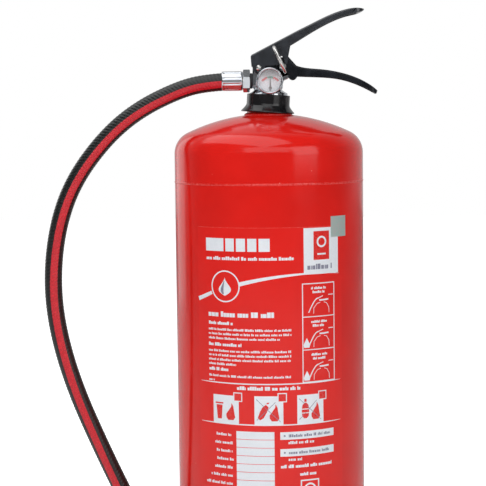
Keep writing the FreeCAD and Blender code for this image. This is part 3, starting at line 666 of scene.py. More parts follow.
def head_outline(settings, apex, sign, low, opening=0.0):
    """A pressed head's wall as (radius, height): crown arc, knuckle arc and skirt outside, the
    same inside. A point of an arc is centre + radius (cos a, sin a)."""
    rows = []
    for inset in (0.0, settings.wall):
        dish, knuckle = settings.dish_radius - inset, settings.knuckle_radius - inset
        centre_r = vessel_radius - settings.knuckle_radius
        reach = settings.dish_radius - settings.knuckle_radius
        centre_z = math.sqrt(reach ** 2 - centre_r ** 2) - settings.dish_radius
        join = math.atan2(centre_z + settings.dish_radius, centre_r)
        start = math.acos(opening / dish)
        a = np.linspace(start, join, 40)[:, None]
        crown = np.hstack([dish * np.cos(a), dish * np.sin(a) - settings.dish_radius])
        a = np.linspace(join, 0, 24)[1:, None]
        bend = np.hstack([centre_r + knuckle * np.cos(a), centre_z + knuckle * np.sin(a)])
        skirt = np.array([[vessel_radius - inset, (low - apex) * sign]])
        rows.append(np.concatenate([crown, bend, skirt]))
    outline = np.concatenate([rows[0], rows[1][::-1]])
    return np.hstack([outline[:, :1], apex + sign * outline[:, 1:]])


def build_vessel(scene):
    """Two pressed heads and the barrel between them, each an outline turned about Z."""
    settings = scene.vessel_settings
    paint = finishes["red_paint"]
    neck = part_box("neck_ring")[1].x
    points, quads = revolve(head_outline(settings, crown_z, 1, head_skirt_low, neck), 256)
    fit(make_piece("upper_head", points, quads), "extinguisher", "red_paint", paint, "top_dome")
    points, quads = revolve(head_outline(settings, bottom_apex, -1, head_skirt_high), 256)
    fit(make_piece("lower_head", points, quads, merge=True), "extinguisher", "red_paint", paint,
        "bottom_dome")
    inner = vessel_radius - settings.wall
    outline = np.array([(vessel_radius, barrel_low), (vessel_radius, barrel_high),
                        (inner, barrel_high), (inner, barrel_low)])
    points, quads = revolve(outline, 256)
    fit(make_piece("barrel_skin", points, quads), "extinguisher", "red_paint", paint, "barrel_shell")


def rippled_bead(name, base, bulge, ripples, low, high, tilt=0.0):
    """A weld bead: the half round r = base + bulge sin(pi s) (1 + 0.3 cos(n a)), s from its lower
    to its upper edge; its back is a plain band. tilt leans the upper edge inwards."""
    s = np.linspace(0, 1, 9)[:, None]
    angle = (np.arange(960) * TAU / 960)[None]
    wave = 1 + 0.3 * np.cos(ripples * angle + 1.3 * np.sin(5 * angle)) * np.sin(math.pi * s)
    radius = base - tilt * s + bulge * np.sin(math.pi * s) * wave
    height = low + (high - low) * s + 0 * angle
    front = np.stack([radius * np.cos(angle), radius * np.sin(angle), height], -1)
    back = base - tilt * s[::-1] - 0.6 * MM + 0 * angle
    back = np.stack([back * np.cos(angle), back * np.sin(angle), height[::-1]], -1)
    points = np.concatenate([front, back])
    return make_piece(name, points, grid_faces(len(points), 960, True, True), sharp=50)


def build_welds(scene):
    """Girth beads above and below the barrel, and a leaning one round the neck."""
    bead = scene.vessel_settings.bead
    finish = finishes["weld_paint"]
    for name, node in (("upper_bead", "upper_weld"), ("lower_bead", "lower_weld")):
        low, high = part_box(node)
        piece = rippled_bead(name, vessel_radius - 0.02 * MM, bead * 0.75, 190, low.z, high.z)
        fit(piece, "extinguisher", "weld_paint", finish, node)
    low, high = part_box("neck_weld")
    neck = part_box("neck_ring")[1].x
    piece = rippled_bead("neck_bead", high.x - 0.4 * MM, 0.9 * MM, 60, low.z - 0.3 * MM, high.z,
                         high.x - neck - 0.6 * MM)
    fit(piece, "extinguisher", "weld_paint", finish, "neck_weld")


def build_foot(scene):
    """Two-walled foot ring with a rolled lip, turned about Z, and the nozzle's cup, turned about
    the nozzle's axis. The web between them is a box whose outer side leans with the nozzle."""
    finish = finishes["foot_plastic"]
    r, top = foot_radius / MM, foot_top / MM
    outline = eased([
        (84.0, 0, 0.8), (86.6, 0, 0.8), (86.6, 24, 0.8), (r - 3.1, 26, 0.8), (r - 3.1, 0, 1.0),
        (r, 0, 1.0), (r, 8.0, 1.2), (r - 0.7, 9.2, 0.8), (r - 0.8, top - 7.0, 0.8),
        (r - 0.1, top - 5.8, 0.6), (r - 0.1, top - 1.6, 1.2), (r - 1.5, top, 1.0),
        (90.1, top, 0.4), (90.1, 41.0, 1.5), (86.2, 34.5, 1.0), (84.0, 32.0, 1.0),
    ])
    points, quads = revolve(outline, 256)
    ring = make_piece("foot_moulding", points, quads, weighted=True)
    fit(ring, "extinguisher", "foot_plastic", finish, "foot_ring")
    cup = turned_piece("nozzle_cup", [
        (3.0, -6.0, 0.3), (10.6, -6.0, 1.6), (12.0, -4.0, 1.4), (12.0, 30.5, 0.5), (12.6, 31.0, 0.4),
        (12.6, 33.4, 0.5), (12.0, 34.0, 0.5), (9.4, 34.0, 0.5), (9.0, 32.5, 0.8), (9.0, -3.5, 1.0),
        (3.0, -3.5, 0.3),
    ], along_nozzle, 96)
    fit(cup, "extinguisher", "foot_plastic", finish)
    s = np.linspace(0, 1, 24)[:, None]
    across = np.array([-1.0, -1.0, 1.0, 1.0])[None]
    inner, outer = -(r - 1.2) * MM, np.array([-0.0985, -0.1005, -0.1025])
    height = 0.012 + 0.031 * s
    reach = np.interp(s, [0, 0.5, 1], outer)
    near = np.array([0.0, 1.0, 1.0, 0.0])[None]
    x = inner + (reach - inner) * near
    y = 3.4 * MM * across * (1 - 0.25 * near)
    grid = np.stack([x, y + 0 * s, height + 0 * near], -1)
    quads = np.concatenate([grid_faces(24, 4, False, True), [[0, 1, 2, 3], [95, 94, 93, 92]]])
    web = make_piece("pocket_web", grid, quads)
    fit(web, "extinguisher", "foot_plastic", finish)


# ------------------------------------------------------------------ label

class Print:
    """A printed layer: flat shapes in mm, as distance along the sleeve from its middle and height
    above the floor, wrapped on to the vessel as thin closed patches."""

    def __init__(self):
        self.points, self.quads, self.count = [], [], 0

    def patch(self, s, z, loop=False):
        """A grid of (s, z) as the front of a patch, its back one ink's thickness under it."""
        rows, columns = s.shape
        flat = np.stack([s, z, np.ones_like(s)], -1)
        back = flat * [1, 1, 0]
        if loop:
            shell = np.concatenate([flat, back[::-1]])
            quads = grid_faces(2 * rows, columns, True, True)
        else:
            shell = np.concatenate([flat, back])
            front = grid_faces(rows, columns)
            edge = np.concatenate([np.arange(columns), np.arange(1, rows) * columns + columns - 1,
                                   (rows - 1) * columns + np.arange(columns - 2, -1, -1),
                                   np.arange(rows - 2, 0, -1) * columns])
            ahead, under = np.roll(edge, -1), rows * columns
            sides = np.stack([ahead, edge, edge + under, ahead + under], -1)
            quads = np.concatenate([front, front[:, ::-1] + under, sides[:, ::-1]])
        self.points.append(shell.reshape(-1, 3))
        self.quads.append(quads + self.count)
        self.count += shell.size // 3

    def bar(self, s0, s1, z0, z1):
        """A filled rectangle, with a column about every 3 mm so that it bends with the sleeve."""
        columns = max(2, int(abs(s1 - s0) / 3) + 2)
        s, z = np.meshgrid(np.linspace(s0, s1, columns), [z0, z1])
        self.patch(s, z)

    def frame(self, s0, s1, z0, z1, width):
        """A rectangle's outline, its line inside the rectangle."""
        self.bar(s0, s1, z1 - width, z1)
        self.bar(s0, s1, z0, z0 + width)
        self.bar(s0, s0 + width, z0 + width, z1 - width)
        self.bar(s1 - width, s1, z0 + width, z1 - width)

    def filled(self, rows):
        """A shape from rows of (height, left, right), with straight sides between the rows."""
        table = np.array(rows, float)
        share = np.linspace(0, 1, 7)[None]
        s = table[:, 1:2] + (table[:, 2:3] - table[:, 1:2]) * share
        self.patch(s, table[:, :1] + 0 * share)

    def stroke(self, line, width):
        """A line of points with a pen's width, or a width for each point."""
        line = np.array(line, float)
        along = np.gradient(line, axis=0)
        normal = np.stack([-along[:, 1], along[:, 0]], -1)
        normal /= np.linalg.norm(normal, axis=1, keepdims=True)
        half = (np.ones(len(line)) * width / 2)[:, None]
        sides = np.stack([line - normal * half, line + normal * half])
        self.patch(sides[..., 0], sides[..., 1])

    def ring(self, s, z, radius, width, count=64):
        """A circle's line: s + r cos a, z + r sin a, for the two radii of its edges."""
        a = np.arange(count) * TAU / count
        sizes = np.array([[radius - width], [radius]])
        self.patch(s + sizes * np.cos(a), z + sizes * np.sin(a), loop=True)

    def disc(self, s, z, radius):
        """A filled circle, in rows between z - r cos t and z + r cos t, s +- r sin t wide."""
        a = np.linspace(0.02, math.pi - 0.02, 13)
        self.filled([(z - radius * math.cos(t), s - radius * math.sin(t), s + radius * math.sin(t))
                     for t in a])

    def words(self, s0, s1, z, tall, seed, bold=1.0):
        """A line of greeked words: letter-sized blocks in uneven groups from s0 to s1."""
        dice = np.random.RandomState(seed)
        letter, place = tall * 0.62, s0
        while place < s1 - letter:
            for _ in range(dice.randint(2, 10)):
                wide = letter * dice.choice([0.55, 0.9, 1.0, 1.25])
                if place + wide > s1:
                    break
                rise = tall * dice.choice([0.72, 0.72, 1.0])
                self.bar(place, place + wide * 0.78 * bold, z - tall / 2, z - tall / 2 + rise)
                place += wide
            place += letter * 0.75

    def wrapped(self, name, base, thick):
        """s becomes an angle from -Y about the vessel's axis: x = r sin a, y = -r cos a."""
        flat = np.concatenate(self.points)
        angle = flat[:, 0] * MM / vessel_radius
        radius = base + flat[:, 2] * thick
        points = np.stack([radius * np.sin(angle), -radius * np.cos(angle), flat[:, 1] * MM], -1)
        return make_piece(name, points, np.concatenate(self.quads))


def build_label(scene):
    """The printed film and the control sticker, two bent sheets."""
    settings = scene.label_settings
    low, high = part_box("label_sheet")[0].z / MM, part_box("label_sheet")[1].z / MM
    half = math.asin(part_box("label_sheet")[1].x / (vessel_radius + settings.film)) * vessel_radius / MM
    sheet = Print()
    s, z = np.meshgrid(np.linspace(-half, half, 97), np.linspace(low, high, 2))
    sheet.patch(s, z)
    fit(sheet.wrapped("label_film", vessel_radius + 0.005 * MM, settings.film), "extinguisher",
        "printed_film", finishes["printed_film"], "label_sheet")
    sticker = Print()
    sticker.bar(60.4, 79.9, 407.0, 426.0)
    fit(sticker.wrapped("control_sticker", vessel_radius + settings.film, settings.film * 0.95),
        "extinguisher", "silver_foil", finishes["silver_foil"], "seal_sticker")


def label_light_print(ink):
    """Everything printed in the light ink."""
    letters = (-63.0, -41.5, -31.0, -20.3, -9.9, 2.2)
    for left, right in zip(letters, letters[1:]):
        ink.bar(left, right - 2.0, 395.7, 407.5)
    ink.words(-62.5, 25.0, 389.3, 3.2, 3, 1.1)
    ink.bar(31.5, 69.2, 374.0, 416.3)
    ink.ring(-42.4, 363.6, 14.6, 1.2)
    t = np.linspace(0.02, 0.985, 22)
    wide = 6.3 * np.sin(math.pi * t ** 1.7)
    ink.filled(np.stack([371.9 - 17.0 * t, -42.7 - wide, -42.7 + wide], -1))
    t = np.linspace(0, 1, 12)
    ink.stroke(np.stack([-73.3 + 16.6 * t, 350.7 + 6.7 * t - 0.9 * t * (1 - t)], -1), 3.8 - 0.7 * t)
    t = np.linspace(0, 1, 30)
    ink.stroke(np.stack([-28.2 + 98.2 * t, 365.8 + 25.8 * t - 18.3 * t ** 2], -1), 3.5 * (1 - t) + 0.25)
    headings = ((-61.0, 3.9, 338.0, 5.0, 11), (-60.7, -33.2, 329.7, 3.0, 12),
                (-61.0, -25.2, 310.0, 3.0, 13), (-60.8, -38.3, 287.1, 3.0, 14))
    for left, right, height, tall, seed in headings:
        ink.words(left, right, height, tall, seed, 1.15)
    paragraphs = ((323.9, (19.8, 19.8, 9.0)), (304.2, (19.7, 19.7, 19.7, -30.0)), (281.0, (19.5, -54.5)))
    for number, (height, ends) in enumerate(paragraphs):
        for line, end in enumerate(ends):
            ink.words(-61.0, end, height - 4.1 * line, 2.1, 20 + 7 * number + line)


def fuel_bin(red, middle):
    """An open bin with its rim."""
    red.filled([(241.0, middle - 8.6, middle - 4.2), (254.0, middle - 9.8, middle - 3.2)])
    red.bar(middle - 10.8, middle - 2.4, 255.0, 256.4)


def fuel_can(red, middle):
    """A tilted can with its spout."""
    red.filled([(241.6, middle - 8.2, middle - 7.6), (243.4, middle - 10.2, middle - 4.8),
                (249.0, middle - 8.2, middle - 1.6), (253.4, middle - 5.8, middle - 0.2),
                (255.6, middle - 3.0, middle - 2.2)])
    red.filled([(256.4, middle - 2.6, middle - 0.4), (257.8, middle - 1.2, middle + 0.8)])


def fuel_bottle(red, middle):
    """A gas bottle in three rings with its tap."""
    red.filled([(242.0, middle - 6.6, middle - 4.0), (244.0, middle - 8.4, middle - 2.2),
                (246.6, middle - 8.8, middle - 1.8)])
    red.filled([(247.4, middle - 8.9, middle - 1.7), (250.2, middle - 8.9, middle - 1.7)])
    red.filled([(251.0, middle - 8.8, middle - 1.8), (254.4, middle - 8.2, middle - 2.4),
                (256.4, middle - 6.2, middle - 4.4)])
    red.bar(middle - 6.4, middle - 4.2, 257.2, 260.0)


def label_pictograms(ink, red, grey):
    """The steps column at the right, and the three fields in the middle."""
    ink.frame(29.6, 64.2, 274.8, 366.0, 0.9)
    ink.bar(29.6, 64.2, 334.8, 335.6)
    ink.bar(29.6, 64.2, 304.6, 305.4)
    for step, top in enumerate((366.0, 335.2, 305.0)):
        ink.words(38.5, 55.5, top - 4.6, 2.3, 50 + step, 1.1)
        ink.words(40.0, 53.5, top - 8.2, 2.3, 60 + step, 1.1)
        base = top - 29.0
        t = np.linspace(0, 1, 12)
        ink.stroke(np.stack([36.0 + 10 * t, base + 2 + 13.0 * np.sin(t * math.pi / 2)], -1), 1.0)
        ink.stroke([(46.0, base + 15.0), (50.0, base + 16.5), (58.0, base + 17.5), (62.5, base + 17.5)], 0.7)
        ink.stroke([(47.0, base + 13.0), (52.0, base + 13.0), (57.0, base + 13.4)], 1.4)
        ink.stroke([(41.0, base + 1), (41.2, base + 6), (44.5, base + 10), (48.0, base + 11)], 0.5)
        ink.stroke([(52.0, base + 11), (55.0, base + 10), (57.5, base + 6), (57.8, base + 1)], 0.5)
        if step:
            small_flame = ((0.8, 2.6), (3, 3.2), (5, 2.5), (7, 1.4), (9.5, 0.2))
            ink.filled([(base + h, 33.9 - w, 33.9 + w) for h, w in small_flame])
    fuels = (
        # shape, left, right, top, crossed out
        (fuel_bin, -56.4, -30.0, 263.2, False),
        (fuel_can, -15.2, 11.2, 263.6, True),
        (fuel_bottle, 24.2, 50.6, 263.8, True),
    )
    flame = ((0, 2.6, 0), (2.5, 4.4, 0), (5.5, 4.2, -0.4), (9, 2.6, 0.6), (12.5, 1.1, 1.6), (15.5, 0.15, 1.0))
    for shape, left, right, top, crossed in fuels:
        ink.bar(left, right, 237.0, top)
        middle = (left + right) / 2
        shape(red, middle)
        root = middle + 5.2
        red.filled([(240.5 + h, root + lean - w, root + lean + w) for h, w, lean in flame])
        if crossed:
            across = np.linspace(-1, 1, 17)
            grey.stroke(np.stack([middle - 2.6 + 8.6 * across, 249.6 + 8.4 * across], -1), 0.5)
            grey.stroke(np.stack([middle - 0.4 + 11.0 * across, 250.2 - 10.4 * across], -1), 0.5)
    for left, right in ((-35.2, -26.6), (6.0, 14.6), (45.2, 54.0)):
        ink.bar(left, right, 257.9, 266.4)
        red.bar(left + 0.9, right - 0.9, 258.8, 265.5)


def label_lower_print(ink, grey):
    """Rules, heading, the data table and the fields to the right of it."""
    t = np.linspace(-1, 1, 40)
    for height in (274.5, 236.8):
        ink.stroke(np.stack([71.5 * t, height + 0 * t], -1), 0.9 * (1 - t ** 8) + 0.12)
    ink.words(-31.5, 28.0, 270.6, 3.4, 31, 1.15)
    row_names = (18.0, 19.5, 18.0, 17.5, 20.0, 24.5, 30.0, 22.0, 26.0)
    for row, length in enumerate(row_names):
        top = 230.6 - 7.6 * row
        ink.bar(-32.6, 2.8, top - 7.1, top)
        ink.words(-35.4 - length, -35.0, top - 3.8, 2.6, 70 + row)
    for number, top in enumerate((230.2, 214.6)):
        ink.bar(8.2, 62.3, top - 7.0, top)
        grey.disc(12.2, top - 3.5, 0.9)
        grey.words(16.0, 60.0 - 3 * number, top - 3.6, 2.7, 80 + number)
        ink.words(15.7, 41.0 - 11 * number, top - 9.9, 2.7, 82 + number)
    ink.words(8.6, 62.0, 198.3, 3.1, 85, 1.15)
    ink.words(26.5, 44.3, 190.5, 3.0, 86, 1.1)
    ink.frame(27.0, 45.5, 166.0, 185.0, 1.2)
    ink.ring(36.2, 175.5, 6.2, 1.6)
    ink.words(-60.0, 60.0, 152.0, 2.4, 88)
    ink.words(-60.0, 44.0, 146.5, 2.4, 89)
    ink.words(-60.0, 56.0, 141.0, 2.4, 90)


def build_print(scene):
    """The label's layers of ink, each one wrapped piece. Places along the label and heights above
    the floor are in mm."""
    settings = scene.label_settings
    light, red, grey, rim = Print(), Print(), Print(), Print()
    label_light_print(light)
    label_pictograms(light, red, grey)
    label_lower_print(light, grey)
    red.bar(41.3, 58.3, 387.0, 413.2)
    grey.words(35.0, 65.5, 380.9, 5.0, 40)
    shadow = ((356.5, 3.2), (359.0, 5.4), (362.0, 5.0), (366.0, 2.6), (368.5, 1.0))
    grey.filled([(height, -42.7 - 0.8 * wide, -42.7 - 0.25 * wide) for height, wide in shadow])
    rim.bar(-73.4, 73.4, 417.0, 417.4)
    mark = Print()
    mark.ring(49.8, 403.5, 5.2, 1.7)
    mark.bar(45.2, 54.4, 391.5, 393.0)
    lift, ink = vessel_radius + settings.film, settings.ink_lift
    layers = (
        # name, shapes, layers of ink under it, finish
        ("light_print", light, 0, "light_ink"),
        ("red_print", red, 1, "ground_ink"),
        ("grey_print", grey, 1, "grey_ink"),
        ("mark_print", mark, 2, "light_ink"),
        ("film_rim", rim, 0, "film_edge"),
    )
    for name, layer, depth, finish in layers:
        piece = layer.wrapped(name, lift + (depth + 0.4) * ink, ink)
        fit(piece, "extinguisher", "printed_film", finishes[finish])


# ------------------------------------------------------------------ valve, grips and gauge

def build_valve(scene):
    """The valve's casting with rounded edges, and the collar and neck socket, turned outlines; the
    collar leans a little about Y."""
    settings = scene.valve_settings
    body = eased_copy("valve_casting", "valve_body", settings.casting_edge)
    fit(body, "extinguisher", "chrome_plate", finishes["chrome_plate"], "valve_body")
    lean = (Matrix.Translation((0, 0, crown_z + 9 * MM)) @ Matrix.Rotation(math.radians(3.8), 4, "Y")
            @ Matrix.Translation((0, 0, -9 * MM)))
    collar = turned_piece("neck_collar", [
        (20.5, 17.6, 0.4), (20.5, 8.6, 1.2), (21.0, 7.2, 0.6), (22.1, 5.6, 0.8), (23.4, 4.0, 1.0),
        (25.35, 2.0, 0.5), (25.35, 1.2, 0.35), (24.4, 0.8, 0.3), (22.2, 3.4, 1.0), (21.0, 4.8, 0.6),
        (21.0, 6.0, 0.3), (17.3, 6.0, 0.3), (17.3, 11.8, 0.3), (19.4, 11.8, 0.4), (19.4, 18.0, 0.2),
        (20.1, 18.0, 0.3),
    ], lean, 160)
    fit(collar, "extinguisher", "collar_plastic", finishes["collar_plastic"], "valve_collar")
    neck = turned_piece("neck_socket", [
        (15.0, -8.0, 0.3), (20.3, -8.0, 0.5), (20.3, 3.5, 0.7), (19.5, 4.3, 0.5), (18.2, 4.3, 0.3),
        (15.0, 1.1, 0.3),
    ], Matrix.Translation((0, 0, crown_z)), 160)
    fit(neck, "extinguisher", "red_paint", finishes["red_paint"], "neck_ring")


def build_grips(scene):
    """Lever and handle with rolled upper edges; the lever's stay sharp beside the safety pin."""
    settings = scene.valve_settings
    pin_slot = ((0.004, crown_z + 0.034), (0.0195, crown_z + 0.060))
    lever = eased_copy("lever_pressing", "squeeze_lever", settings.press_edge, 0.2, pin_slot)
    fit(lever, "lever", "black_paint", finishes["black_paint"], "squeeze_lever")
    handle = eased_copy("handle_pressing", "carry_handle", settings.press_edge, 0.2)
    # The handle wears the grip coat with painted shade, darker than the lever's.
    fit(handle, "extinguisher", "black_paint", finishes["shaded_handle_coat"], "carry_handle")


def build_ring(scene):
    """Wire ring: a circle of radius R about its centre, carried round as a tube of radius r."""
    eye = np.array(ring_joint["pos_m"])
    wire_way = np.array(ring_joint["axis"])
    wire_way = wire_way / np.linalg.norm(wire_way)
    low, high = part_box("pull_ring")
    middle = (np.array(low) + np.array(high)) / 2
    inward = middle - eye
    inward -= wire_way * (inward @ wire_way)
    big = np.linalg.norm(inward)
    inward = inward / big
    normal = np.cross(wire_way, inward)
    a = np.arange(120)[:, None] * TAU / 120
    b = np.arange(20)[None] * TAU / 20
    wire = 1.5 * MM
    out = (-inward * np.cos(a)[..., None] + wire_way * np.sin(a)[..., None])
    reach = (big + wire * np.cos(b))[..., None]
    points = eye + inward * big + out * reach + normal * (wire * np.sin(b))[..., None]
    piece = make_piece("ring_wire", points, grid_faces(120, 20, True, True))
    fit(piece, "ring", "bright_steel", finishes["bright_steel"], "pull_ring")


def build_gauge(scene):
    """Case, rim and domed window, each an outline turned about the gauge's axis."""
    case = turned_piece("gauge_shell", [
        (5.1, 15.05, 0.2), (9.6, 15.05, 0.6), (11.4, 15.9, 0.6), (12.05, 17.4, 0.6), (12.05, 22.6, 0.2),
        (11.3, 22.6, 0.2), (11.3, 18.0, 0.4), (10.8, 16.6, 0.3), (7.1, 16.2, 0.2), (7.1, 15.5, 0.1),
        (5.1, 15.5, 0.1),
    ], facing_gauge)
    fit(case, "extinguisher", "chrome_plate", finishes["chrome_plate"], "gauge_case")
    bezel = turned_piece("gauge_rim", [
        (12.1, 22.6, 0.1), (12.5, 22.6, 0.2), (12.5, 25.2, 0.7), (11.9, 26.2, 0.6), (10.9, 26.1, 0.5),
        (10.5, 25.3, 0.2), (11.9, 25.2, 0.2), (11.9, 24.0, 0.1), (12.1, 24.0, 0.05),
    ], facing_gauge)
    fit(bezel, "extinguisher", "chrome_plate", finishes["chrome_plate"], "gauge_bezel")
    lens = turned_piece("gauge_window", [
        (0, 24.2), (11.8, 24.2, 0.1), (11.8, 25.1, 0.2), (10.4, 25.15, 0.6), (5.5, 25.6, 2.4), (0, 25.75),
    ], facing_gauge, 96, closed=False)
    fit(lens, "extinguisher", "clear_window", finishes["clear_window"], "gauge_lens")


def dial_band(name, inner, outer, start, end, finish):
    """An arc printed on the dial about the needle's spindle; angles in degrees from straight up."""
    a = np.radians(np.linspace(start, end, 24))
    rows = np.array([[inner], [outer]]) * MM
    x, z = needle_pivot.x + rows * np.sin(a), needle_pivot.z + rows * np.cos(a)
    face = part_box("gauge_dial")[0].y
    grid = [np.stack([x, np.full_like(x, face - lift * MM), z], -1) for lift in (0.05, 0.01)]
    shell = np.concatenate([grid[0], grid[1][::-1]])
    quads = grid_faces(4, 24, True, False)
    ends = [[0, 24, 48, 72], [95, 71, 47, 23]]
    return make_piece(name, shell, np.concatenate([quads, ends])), finish


def build_dial(scene):
    """Three coloured bands and a row of ticks, every third one longer."""
    bands = [
        dial_band("scale_low_band", 9.0, 11.0, -50, -17, "scale_red"),
        dial_band("scale_good_band", 9.0, 11.0, -16, 16, "scale_green"),
        dial_band("scale_high_band", 9.0, 11.0, 17, 50, "scale_red"),
    ]
    for step, angle in enumerate(range(-48, 49, 8)):
        long = 1.6 if step % 3 == 0 else 0.9
        bands.append(dial_band(f"scale_tick_{step}", 8.7 - long, 8.7, angle - 0.9, angle + 0.9,
                               "scale_black"))
    for piece, finish in bands:
        fit(piece, "extinguisher", "dial_face", finishes[finish])


# ------------------------------------------------------------------ hose, fittings and nozzle

def route_line():
    """The hose's centreline, read from the smooth spline through its route."""
    curve = bpy.data.curves.new("hose route", "CURVE")
    curve.dimensions = "3D"
    spline = curve.splines.new("NURBS")
    spline.points.add(len(hose_route) - 1)
    for point, (x, z) in zip(spline.points, hose_route):
        point.co = (x, 0, z, 1)
    spline.order_u = 3
    spline.use_endpoint_u = True
    spline.resolution_u = 64
    holder = bpy.data.objects.new("hose route", curve)
    mesh = bpy.data.meshes.new_from_object(holder)
    line = np.zeros(len(mesh.vertices) * 3)
    mesh.vertices.foreach_get("co", line)
    bpy.data.objects.remove(holder)
    bpy.data.meshes.remove(mesh)
    return line.reshape(-1, 3)


def evenly(line, step):
    """A line's points at equal distances, and those distances."""
    length = np.concatenate([[0], np.cumsum(np.linalg.norm(np.diff(line, axis=0), axis=1))])
    at = np.linspace(0, length[-1], int(length[-1] / step) + 1)
    return np.stack([np.interp(at, length, line[:, k]) for k in range(3)], -1), at


def build_hose(scene):
    """A tube carried along the route: centre + R(n cos a + b sin a), with n the way to the hose's
    outer side and b towards -Y. Its grooves are R = radius - depth (1 + cos(2 pi l / pitch + 9 a)) / 2,
    and the stripe's middle turns slowly about the hose along its length."""
    settings = scene.hose_settings
    line, at = evenly(route_line(), 0.5 * MM)
    along = np.gradient(line, axis=0)
    along /= np.linalg.norm(along, axis=1, keepdims=True)
    side = np.array([0.0, -1.0, 0.0])
    outer = np.cross(side, along)
    outer *= np.sign(outer[0, 2])
    columns = 73
    a = np.linspace(0, TAU, columns)[None]
    share = (at / at[-1])[:, None]
    middle = np.radians(np.interp(share, [0, 0.12, 0.45, 0.78, 1], [18, 21, 14, -6, -26]))
    wave = np.cos(TAU * at[:, None] / settings.groove_pitch + 9 * a)
    radius = settings.radius - settings.groove_depth * (1 + wave) / 2
    towards = np.cos(a)[..., None] * side + np.sin(a)[..., None] * -outer[:, None]
    points = line[:, None] + radius[..., None] * towards
    turn = (a - middle + math.pi) % TAU / TAU
    uv = np.stack([turn, at[:, None] + 0 * a], -1)
    rows = len(line)
    piece = hose_mesh(points, uv, rows, columns)
    fit(piece, "extinguisher", "hose_rubber", finishes["hose_rubber"], "hose")


def hose_mesh(points, uv, rows, columns):
    """The tube's skin run back through its bore, p = c + 0.55 (s - c) with c the middle of a row of
    the skin s, on every eighth row; skin and bore close on each other at both ends."""
    skin, count = points[:, :-1], columns - 1
    back = np.unique(np.append(np.arange(0, rows, 8), rows - 1))[::-1]
    centre = skin[back].mean(1, keepdims=True)
    bore = centre + (skin[back] - centre) * 0.55
    everything = np.concatenate([skin, bore])
    flat_uv = np.concatenate([uv[:, :-1], uv[back, :-1]]).reshape(-1, 2)
    quads = grid_faces(rows + len(back), count, True, True)
    return make_piece("hose_tube", everything, quads, uv=flat_uv, sharp=60)


def crimped_sleeve(name, place, low):
    """A sleeve with ten lengthwise crimps: r = R(l) - depth c(a) e(l), R the sleeve's outline, c a
    row of rounded valleys and e their strength, which fades out at both ends. It has a plain bore
    and a floor with the tail's hole."""
    hole, bore, floor, depth, crimps = 5.2 * MM, 8.56 * MM, 2.5 * MM, 0.62 * MM, 10
    outline = np.array([
        # height, radius, strength of the crimps
        (0, 5.2, 0), (0, 8.2, 0), (0.4, 8.9, 0), (1.2, 9.2, 0), (2.0, 9.3, 0.3), (2.6, 9.3, 0.8),
        (3.4, 9.3, 1), (9.5, 9.3, 1), (16.6, 9.3, 1), (17.6, 9.3, 0.8), (18.4, 9.3, 0.3),
        (19.2, 9.2, 0), (19.8, 9.0, 0), (20.0, 8.7, 0),
    ])
    a = np.arange(240)[None] * TAU / 240
    length, body, fade = outline[:, :1] * MM, outline[:, 1:2] * MM, outline[:, 2:]
    valley = np.clip(np.cos(crimps * a) * 1.6 - 0.5, 0, 1) ** 0.8
    outer = body - depth * valley * fade
    rows = np.concatenate([outer, np.full((2, 240), bore), np.full((1, 240), hole)])
    heights = np.concatenate([length, [length[-1], [floor], [floor]]])
    points = np.stack([rows * np.cos(a), rows * np.sin(a), low + heights + 0 * a], -1)
    quads = grid_faces(len(rows), 240, True, True)
    return make_piece(name, moved(points, place), quads, weighted=True)


def build_fittings(scene):
    """The crimped sleeve and the hexagon nut. The nut's radius is the smaller of its hexagon,
    across / 2 / cos(a from the middle of a flat), and of its crowned ends, a square root of the
    distance from the nearer end."""
    sleeve = crimped_sleeve("valve_end_sleeve", along_outlet, ferrule_start)
    fit(sleeve, "extinguisher", "crimp_steel", finishes["crimp_steel"], "hose_ferrule")
    low, thick, across, bore = 17.0 * MM, 6.7 * MM, 19.0 * MM, 5.2 * MM
    roll = 0.16
    a = np.arange(240)[None] * TAU / 240
    levels = [np.linspace(0, 1.2, 7), np.linspace(1.3, 5.4, 8), np.linspace(5.5, 6.7, 7)]
    l = np.concatenate(levels)[:, None] * MM
    corner = across / math.sqrt(3)
    crown = corner - 1.1 * MM + np.sqrt(np.clip(np.minimum(l, thick - l) * 2.4 * MM, 0, None))
    hexagon = across / 2 / np.cos((a + roll) % (math.pi / 3) - math.pi / 6)
    outer = np.minimum(hexagon, crown)
    rows = np.concatenate([outer, np.full((2, 240), bore)])
    heights = np.concatenate([l, [[thick], [0.0]]])
    points = np.stack([rows * np.cos(a), rows * np.sin(a), low + heights + 0 * a], -1)
    quads = grid_faces(len(rows), 240, True, True)
    nut = make_piece("swivel_nut", moved(points, along_outlet), quads, sharp=25)
    fit(nut, "extinguisher", "chrome_plate", finishes["chrome_plate"], "hose_nut")


def build_nozzle(scene):
    """The nozzle's grip with six finger rings, an outline turned about its axis, and its sleeve."""
    sleeve = crimped_sleeve("nozzle_sleeve", along_nozzle, nozzle_tail)
    fit(sleeve, "extinguisher", "crimp_steel", finishes["crimp_steel"], "nozzle_ferrule")
    rings = []
    for number in range(6):
        z = 36.0 + 4.0 * number
        rings += [(8.55, z, 0.3), (9.2, z + 0.7, 0.4), (9.2, z + 2.3, 0.4), (8.55, z + 3.0, 0.3)]
    tail = nozzle_tail / MM
    grip = turned_piece("nozzle_grip", [
        (5.0, 0, 0.3), (7.2, 0, 0.8), (8.0, 1.2, 0.8), (8.4, 32.0, 1.5), *rings,
        (8.6, 62.0, 1.0), (9.3, 64.0, 1.0), (9.3, tail - 1.0, 0.8), (8.5, tail, 0.4), (4.6, tail, 0.2),
        (4.6, tail + 17.0, 0.3), (3.6, tail + 17.5, 0.2), (3.6, 14.0, 1.0), (5.0, 10.0, 0.5),
    ], along_nozzle, 96, steps=4)
    fit(grip, "extinguisher", "nozzle_plastic", finishes["nozzle_plastic"], "nozzle_body")


